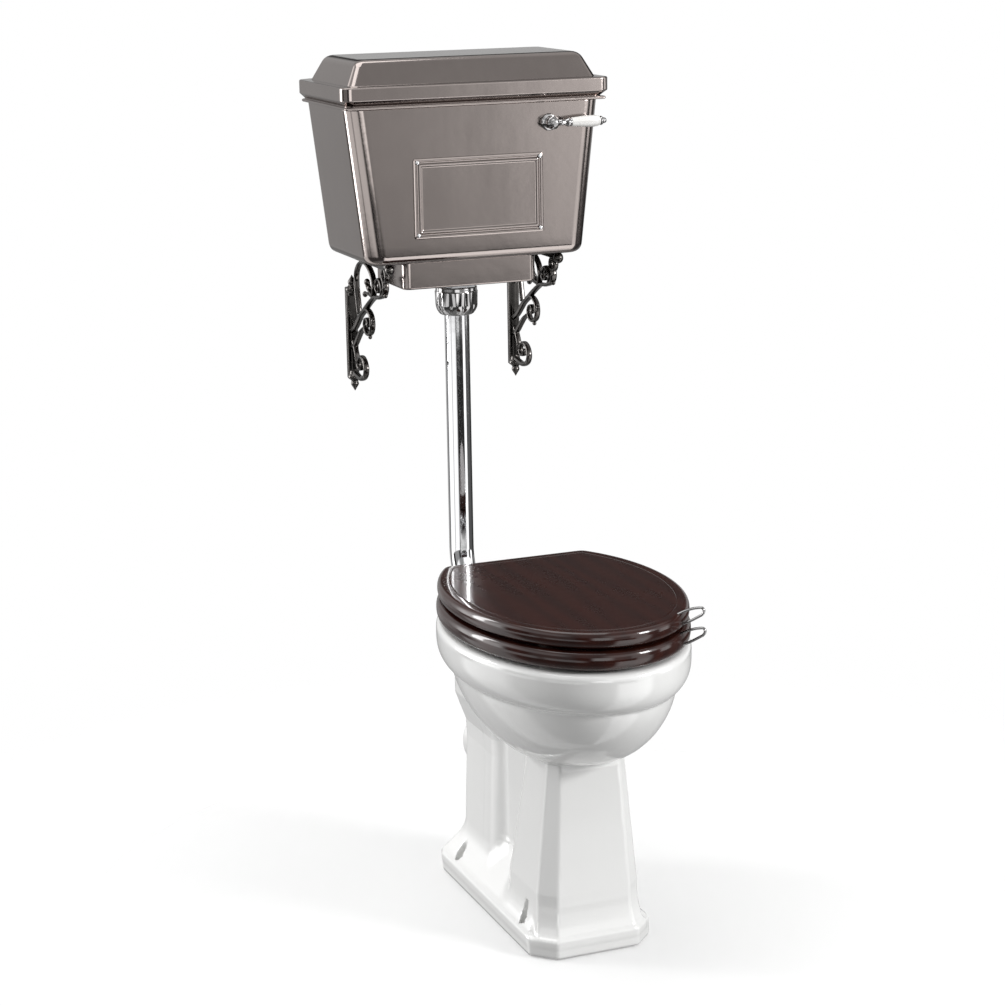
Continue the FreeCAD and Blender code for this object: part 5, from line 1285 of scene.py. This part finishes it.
@dataclass
class Lever(Piece):
    """The flush lever: rosette, hub, ferrule, china grip and tip."""

    def turned(self, node: str, slot: str, body: str, axis: Axis, corners: Corners) -> None:
        """Turn one piece along its CAD box.

        Args:
            node: CAD node that it replaces.
            slot: material slot.
            body: body that carries it.
            axis: direction of the turning axis.
            corners: outline (radius in mm, share of the length, rounding in mm).
        """
        box = Box.of(node)
        low, high = box.low[axis.value], box.high[axis.value]
        place = box.middle
        place[axis.value] = 0.0
        profile = rounded_line([(r * MM, low + (high - low) * share, soft * MM) for r, share, soft in corners])
        # chrome lever pieces take the darker chrome copy: painted shade
        self.place(Skin().add(revolve(profile, place, axis, 40)), node + "_turned", slot, body, node,
                   look="dark_chrome" if slot == "chrome" else slot)

    def build(self) -> None:
        """Make the five shown pieces."""
        box, front = Box.of("lever_rosette"), Box.of("cistern_tank").low[1]
        share = (front - box.low[1]) / box.size[1]
        self.turned("lever_rosette", "chrome", "root", Axis.Y, [
            (5.0, 0.0, 0), (8.0, 0.0, 0.8), (9.2, share * 0.35, 0.8), (11.5, share * 0.42, 1.0),
            (13.0, share * 0.72, 1.2), (13.0, share, 0.4), (6.9, share, 0), (6.9, 1.0, 0), (5.0, 1.0, 0)])
        self.turned("lever_hub", "chrome", "lever", Axis.Y, [
            (0.4, 0.0, 0), (4.2, 0.0, 1.2), (6.6, 0.1, 1.0), (6.0, 0.2, 0.6), (9.9, 0.34, 2.0), (9.9, 0.66, 2.0),
            (7.4, 0.8, 0.8), (8.2, 0.88, 0.8), (7.0, 1.0, 0.6), (0.4, 1.0, 0)])
        self.turned("lever_ferrule", "chrome", "lever", Axis.X, [
            (0.4, 0.0, 0), (4.6, 0.0, 0), (5.0, 0.3, 1.0), (4.4, 0.5, 1.0), (6.9, 0.72, 0.8), (6.9, 0.86, 0.8),
            (5.6, 0.9, 0.4), (6.2, 1.0, 0.3), (0.4, 1.0, 0)])
        self.turned("lever_grip", "grip_china", "lever", Axis.X, [
            (0.4, 0.0, 0), (6.6, 0.0, 1.0), (7.1, 0.15, 3.0), (8.2, 0.4, 5.0), (8.7, 0.66, 5.0), (8.4, 0.86, 4.0),
            (6.8, 0.98, 2.0), (5.8, 1.0, 0.4), (0.4, 1.0, 0)])
        self.turned("lever_tip", "chrome", "lever", Axis.X, [
            (0.4, 0.0, 0), (5.6, 0.0, 0.5), (7.0, 0.18, 0.8), (6.2, 0.34, 0.6), (4.0, 0.45, 0.6), (4.6, 0.62, 1.0),
            (3.4, 0.9, 1.2), (1.2, 1.0, 0.6), (0.3, 1.0, 0)])


@dataclass
class Brackets(Piece):
    """The scrolled wall brackets, drawn in millimetres as (distance from the wall, height)."""

    thick: float = 5.5
    bar_half: float = 9.0
    bar_ends: Sizes = (736.0, 879.0)
    rib: Sizes = (0.42, 0.0016)  # share of the bar's width, height
    arm: Sizes = (44.0, 186.0)  # near and far ends
    arm_halves: Sizes = (5.4, 5.0)
    finial_out: float = 11.0
    ball_flat: float = 0.85
    strokes: tuple[tuple[tuple[Pair, ...], float, float, float], ...] = (
        (((45, 842), (40, 862), (35, 885), (37, 905), (50, 919), (66, 925), (84, 925), (102, 918), (115, 906),
          (118, 892), (112, 877)), 2.6, 2.8, 4.6),
        (((168, 911), (171, 900), (166, 890), (154, 884), (138, 881), (122, 879), (104, 871), (86, 861), (68, 850),
          (52, 841), (38, 830), (24, 819), (8, 810)), 2.2, 4.0, 5.2),
        (((66, 824), (51, 816), (36, 804), (23, 793), (8, 784)), 1.8, 3.6, 4.8),
        (((12, 796), (21, 784), (27, 772), (27, 760)), 3.2, 1.5, 4.2),
        (((8, 746), (32, 742), (48, 742), (63, 748), (69, 759), (64, 770), (52, 776), (39, 773), (33, 764), (38, 756),
          (48, 757), (51, 763)), 4.2, 1.7, 4.6),
        (((56, 844), (72, 853), (88, 854), (101, 847), (105, 835), (100, 823), (88, 817), (76, 820), (71, 830),
          (76, 839), (86, 840), (90, 833)), 2.9, 1.7, 4.6),
        (((128, 880), (142, 881), (153, 886), (157, 896), (152, 906), (141, 909), (132, 903), (131, 894), (138, 889),
          (145, 893)), 2.7, 1.7, 4.4),
        (((113, 881), (102, 884), (92, 889), (85, 896)), 2.4, 1.8, 4.2),
        (((112, 878), (97, 880), (84, 880), (74, 877)), 2.2, 1.6, 4.0),
        (((174, 928), (179, 918), (174, 909), (165, 910), (162, 919), (168, 928)), 2.8, 2.4, 4.6),
    )
    balls: tuple[tuple[Pair, float], ...] = (
        ((190.0, 929.0), 8.6), ((142, 899), 4.4), ((84, 832), 4.8), ((85, 897), 5.4), ((94, 889), 4.4),
        ((74, 877), 4.6), ((107, 841), 3.6), ((92, 814), 3.6), ((169, 888), 3.8), ((47, 763), 4.0))

    @property
    def wall(self) -> float:
        """Give the wall's place along Y, in metres."""
        return Box.of("bracket_left").high[1]

    def stroke(self, skin: Skin, x: float, line: Array, start: float, end: float, thick: float,
               power: float = 2.6) -> None:
        """Sweep a tapering band along a line.

        Args:
            skin: skin that takes it.
            x: middle of the bracket, in metres.
            line: points (distance from the wall, height), in millimetres.
            start: first half width.
            end: last half width.
            thick: half thickness across.
            power: squareness of the section.
        """
        path = np.stack([np.full(len(line), x), self.wall - line[:, 0] * MM, line[:, 1] * MM], axis=1)
        width = np.linspace(start, end, len(line)) * MM
        skin.add(sweep(path, (1.0, 0.0, 0.0), width, thick * MM, 16, power))

    def ball(self, skin: Skin, x: float, at: Pair, radius: float) -> None:
        """Add a ball: circles of radius R sin t at heights R cos t across the bracket."""
        turn = np.linspace(0.08, np.pi - 0.08, 17)
        profile = np.stack([radius * np.sin(turn), self.ball_flat * radius * np.cos(turn)], axis=1) * MM
        skin.add(revolve(profile, (x, self.wall - at[0] * MM, at[1] * MM), Axis.X, 24))

    def finial(self, skin: Skin, x: float, level: float, way: float) -> None:
        """Turn a collar and a pointed finial at one end of the bar."""
        rows = rounded_line([
            (2.0, -14.0, 0), (7.0, -14.0, 1), (8.0, -9.0, 1), (10.9, -6.0, 2), (10.9, -2.0, 2), (7.0, 0.5, 1.5),
            (5.0, 3.0, 1.5), (6.4, 6.0, 2), (6.0, 9.0, 3), (2.6, 14.0, 3), (0.5, 18.0, 0)])
        rows = np.stack([rows[:, 0] * MM, level * MM + way * rows[:, 1] * MM], axis=1)
        skin.add(revolve(rows, (x, self.wall - self.finial_out * MM, 0.0), Axis.Z, 32))

    def build_side(self, side: str) -> None:
        """Draw one bracket: bar and finials, arch and arm, then the scrolls."""
        node = f"bracket_{side}"
        box = Box.of(node)
        x = box.middle[0]
        skin = Skin()
        top = box.high[2] / MM
        low, high = self.bar_ends
        level = np.array([low, low + 1, high - 1, high]) * MM
        inset = np.array([1.0, 0.0, 0.0, 1.0]) * MM
        grid = rounded_rects(self.bar_half * MM - inset, box.high[1] - self.bar_half * MM + inset,
                             box.high[1] - inset, np.full(4, 0.0022), level, 5)
        grid[..., 0] += x
        skin.add(grid)
        narrow, proud = self.rib
        rib = grid.copy()
        rib[..., 0] = x + (rib[..., 0] - x) * narrow
        rib[..., 1] -= proud
        skin.add(rib)
        self.finial(skin, x, low - 1, -1.0)
        self.finial(skin, x, high + 1, 1.0)
        for points, first, last, thick in self.strokes:
            self.stroke(skin, x, smooth_path(points, 8), first, last, thick)
        arm = np.stack([np.linspace(*self.arm, 12), np.full(12, top - self.thick)], axis=1)
        self.stroke(skin, x, arm, *self.arm_halves, self.thick, 5.0)
        for at, radius in self.balls:
            self.ball(skin, x, at, radius)
        self.place(skin, node + "_scroll", "bracket_metal", "root", node)

    def build(self) -> None:
        """Make both brackets."""
        for side in SIDES:
            self.build_side(side)


class Dressing:
    """Gives the CAD pieces that stay their finishes."""

    SLOTS: dict[str, tuple[str, ...]] = {
        "chrome": ("tail_backnut", "ring_strap_left", "ring_strap_right", "lid_strap_left", "lid_strap_right",
                   "lever_spindle"),
        "seal_rubber": ("tail_washer", "siphon_flap", "hinge_pad_left", "hinge_pad_right"),
        "plain_brass": ("lever_locknut", "lever_crank", "lift_link", "valve_body", "valve_backnut",
                        "valve_piston", "arm_pin", "float_arm", "hinge_wing_nut_left", "hinge_wing_nut_right"),
        "siphon_plastic": ("siphon_body", "siphon_plunger"),
        "float_plastic": ("float_ball",),
    }

    def __init__(self, palette: Palette) -> None:
        """Keep the palette."""
        self.palette = palette

    def build(self) -> None:
        """Put a material on each CAD piece that is still shown."""
        for slot, nodes in self.SLOTS.items():
            for node in nodes:
                for place in bpy.data.objects[node].material_slots:
                    place.material = self.palette[slot]
        log.info("CAD pieces dressed")


# Room


@dataclass(frozen=True)
class Lamp:
    """A soft studio light."""

    name: str
    place: Sizes
    target: Sizes
    size: Pair
    watts: float

    def build(self) -> bpy.types.Object:
        """Make the light, facing its target."""
        data = bpy.data.lights.new(self.name, "AREA")
        data.shape = "RECTANGLE"
        data.size, data.size_y = self.size
        data.energy = self.watts
        thing = bpy.data.objects.new(self.name, data)
        way = Vector(self.target) - Vector(self.place)
        thing.matrix_world = Matrix.Translation(self.place) @ way.to_track_quat("-Z", "Y").to_matrix().to_4x4()
        bpy.context.scene.collection.objects.link(thing)
        return thing


@dataclass
class Studio:
    """Floor, surroundings, lights and camera."""

    camera_place: Sizes = (-1.296, -3.1316, 1.4555)
    yaw: float = 21.64
    pitch: float = 13.93
    roll: float = -0.95
    lens: float = 87.1
    sensor: float = 36.0
    floor_radii: Sizes = (0.3, 2.6)
    peak: float = 4.0
    bands: tuple[tuple[float, float, Stops], ...] = (
        (-1.0, -1.0, ((-180, 0.3), (-150, 0.3), (-143, 1.5), (-112, 1.5), (-100, 0.1), (0, 0.1), (8, 2.4), (50, 2.4),
                      (60, 0.1), (106, 0.1), (120, 0.3), (180, 0.3))),
        (-0.3, -0.27, (
            (-180, 0.5), (-152, 0.5), (-146, 0.12), (-138, 0.12), (-128, 1.7), (-84, 1.7), (-78, 0.5), (-72, 1.7),
            (-40, 1.6), (-30, 0.03), (29, 0.03), (33, 1.9), (53, 1.9), (58, 0.14), (100, 0.12), (112, 0.03),
            (160, 0.03), (180, 0.5))),
        (-0.167, -0.157, (
            (-180, 0.5), (-166, 0.48), (-158, 0.65), (-150, 1.2), (-143, 4.0), (-112, 4.0), (-106, 0.04), (-90, 0.04),
            (-84, 0.4), (-50, 0.4), (-42, 0.04), (-30, 0.04), (-24, 3.0), (-6, 3.0), (1, 0.7), (20, 0.68), (21.4, 0.7),
            (23.2, 1.4), (25, 1.62), (46, 1.6), (52, 0.1), (66, 0.1), (70, 2.4), (82, 2.4), (88, 0.1), (104, 0.1),
            (116, 0.5), (180, 0.5))),
        (0.15, 0.22, (
            (-180, 0.62), (-155, 0.62), (-143, 2.6), (-112, 2.6), (-98, 1.5), (-62, 1.5), (-48, 0.4), (-18, 0.4),
            (-4, 1.7), (36, 1.7), (43, 3.2), (60, 3.2), (68, 1.2), (84, 1.2), (100, 0.06), (170, 0.04), (180, 0.62))),
        (0.5, 0.68, ((-180, 0.7), (-120, 0.9), (-40, 0.58), (60, 0.58), (110, 0.8), (180, 0.7))),
    )
    dome: Stops = (
        (-180, 0.7), (-130, 0.92), (-95, 0.78), (-60, 0.46), (-30, 0.44), (5, 0.58), (40, 0.64), (120, 0.62),
        (180, 0.7))
    horizon: Sizes = (-0.2, 0.1)
    below: float = 0.3
    floor_bounce: Colour = (0.5, 0.5, 0.5)
    floor_tone: Colour = (0.95, 0.95, 0.95)
    floor_fade: Sizes = (0.35, 1.2, 0.6)  # start, end, least share
    floor_levels: Sizes = (-0.0004, -0.002)
    lamps: tuple[Lamp, ...] = (
        Lamp("left_strip", (-2.3, 1.6, 1.2), (0.0, 0.0, 0.5), (0.5, 2.0), 41.0),
        Lamp("right_box", (1.75, -2.0, 1.45), (0.0, -0.1, 0.5), (0.7, 0.7), 54.0),
        Lamp("top", (-0.5, 0.2, 3.2), (0.0, 0.0, 0.5), (2.0, 2.0), 34.0),
    )

    def build_world(self) -> None:
        """Paint the surroundings: white to the camera, and a pale room with darker bands to everything else."""
        world = bpy.data.worlds.new("studio")
        bpy.context.scene.world = world
        graph = Graph.on(world)
        way = graph.add("TexCoord").outputs["Generated"]
        parts = graph.add("SeparateXYZ", {"Vector": way}).outputs
        ahead = graph.math("MULTIPLY", parts["Y"], -1.0)
        turn = graph.math("ARCTAN2", parts["X"], ahead)
        share = graph.span(turn, -math.pi, math.pi)

        def stops(table: Stops) -> list[Pair]:
            """Turn degrees and brightness into ramp places and values."""
            return [(degrees / 360 + 0.5, value / self.peak) for degrees, value in table]

        room = graph.ramp(share, stops(self.bands[0][2]))
        for low, high, table in self.bands[1:]:
            room = graph.mix(graph.span(parts["Z"], low, high), room, graph.ramp(share, stops(table)))
        rise = graph.span(parts["Z"], *self.horizon, self.below)
        soft = graph.mix(rise, (0.0, 0.0, 0.0), graph.ramp(share, stops(self.dome)))
        ray = graph.add("LightPath").outputs
        light = graph.mix(ray["Is Glossy Ray"], soft, room)
        room_light = graph.add("Background", {"Color": light, "Strength": self.peak})
        plain = graph.add("Background", {"Color": (1.0, 1.0, 1.0), "Strength": 1.0})
        mixed = graph.add("MixShader", {0: ray["Is Camera Ray"], 1: room_light.outputs[0], 2: plain.outputs[0]})
        graph.add("OutputWorld", {"Surface": mixed.outputs[0]})

    def build_floor(self) -> None:
        """Lay a pale round floor that fades into the white ground at its edge."""
        material = bpy.data.materials.new("pale_floor")
        graph = Graph.on(material)
        place = graph.add("TexCoord").outputs["Object"]
        away = graph.add("VectorMath", {0: place}, operation="LENGTH").outputs["Value"]
        near, far, least = self.floor_fade
        fade = graph.add("MapRange", {"Value": away, "From Min": near, "From Max": far, "To Min": least},
                         interpolation_type="SMOOTHSTEP").outputs["Result"]
        seen = graph.add("LightPath").outputs["Is Camera Ray"]
        matt = graph.add("BsdfDiffuse", {"Color": graph.mix(seen, self.floor_bounce, self.floor_tone)})
        clear = graph.add("BsdfTransparent")
        mixed = graph.add("MixShader", {0: fade, 1: matt.outputs[0], 2: clear.outputs[0]})
        graph.add("OutputMaterial", {"Surface": mixed.outputs[0]})
        inner, outer = self.floor_radii
        top, under = self.floor_levels
        rows = np.array([(inner, top), (outer, top), (outer, under), (inner, under)])
        floor = Skin().add(revolve(rows, (0.0, 0.0, 0.0), Axis.Z, 64)).build("floor", material)

    def build_camera(self) -> None:
        """Set the camera from its yaw, pitch and roll."""
        yaw, pitch, roll = (math.radians(angle) for angle in (self.yaw, self.pitch, self.roll))
        ahead = Vector((math.sin(yaw) * math.cos(pitch), math.cos(yaw) * math.cos(pitch), -math.sin(pitch)))
        right = Vector((math.cos(yaw), -math.sin(yaw), 0.0))
        up = right.cross(ahead)
        side = right * math.cos(roll) + up * math.sin(roll)
        head = up * math.cos(roll) - right * math.sin(roll)
        data = bpy.data.cameras.new("camera")
        data.lens = self.lens
        data.sensor_width = self.sensor
        thing = bpy.data.objects.new("camera", data)
        turn = Matrix((side, head, -ahead)).transposed().to_4x4()
        thing.matrix_world = Matrix.Translation(self.camera_place) @ turn
        bpy.context.scene.collection.objects.link(thing)
        bpy.context.scene.camera = thing

    def build(self) -> None:
        """Make the whole room."""
        bpy.context.scene.view_settings.view_transform = "Standard"
        self.build_world()
        self.build_floor()
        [lamp.build() for lamp in self.lamps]
        self.build_camera()
        log.info("room ready")


def main() -> None:
    """Build every piece, dress the CAD pieces that stay, then make the room."""
    logging.basicConfig(level=logging.INFO, format="%(name)s: %(message)s")
    palette = Palette()
    for maker in (Pan, Seat, Hinges, Cistern, FlushPipe, Lever, Brackets):
        maker(palette).build()
    Dressing(palette).build()
    Studio().build()


if __name__ == "__main__":
    main()
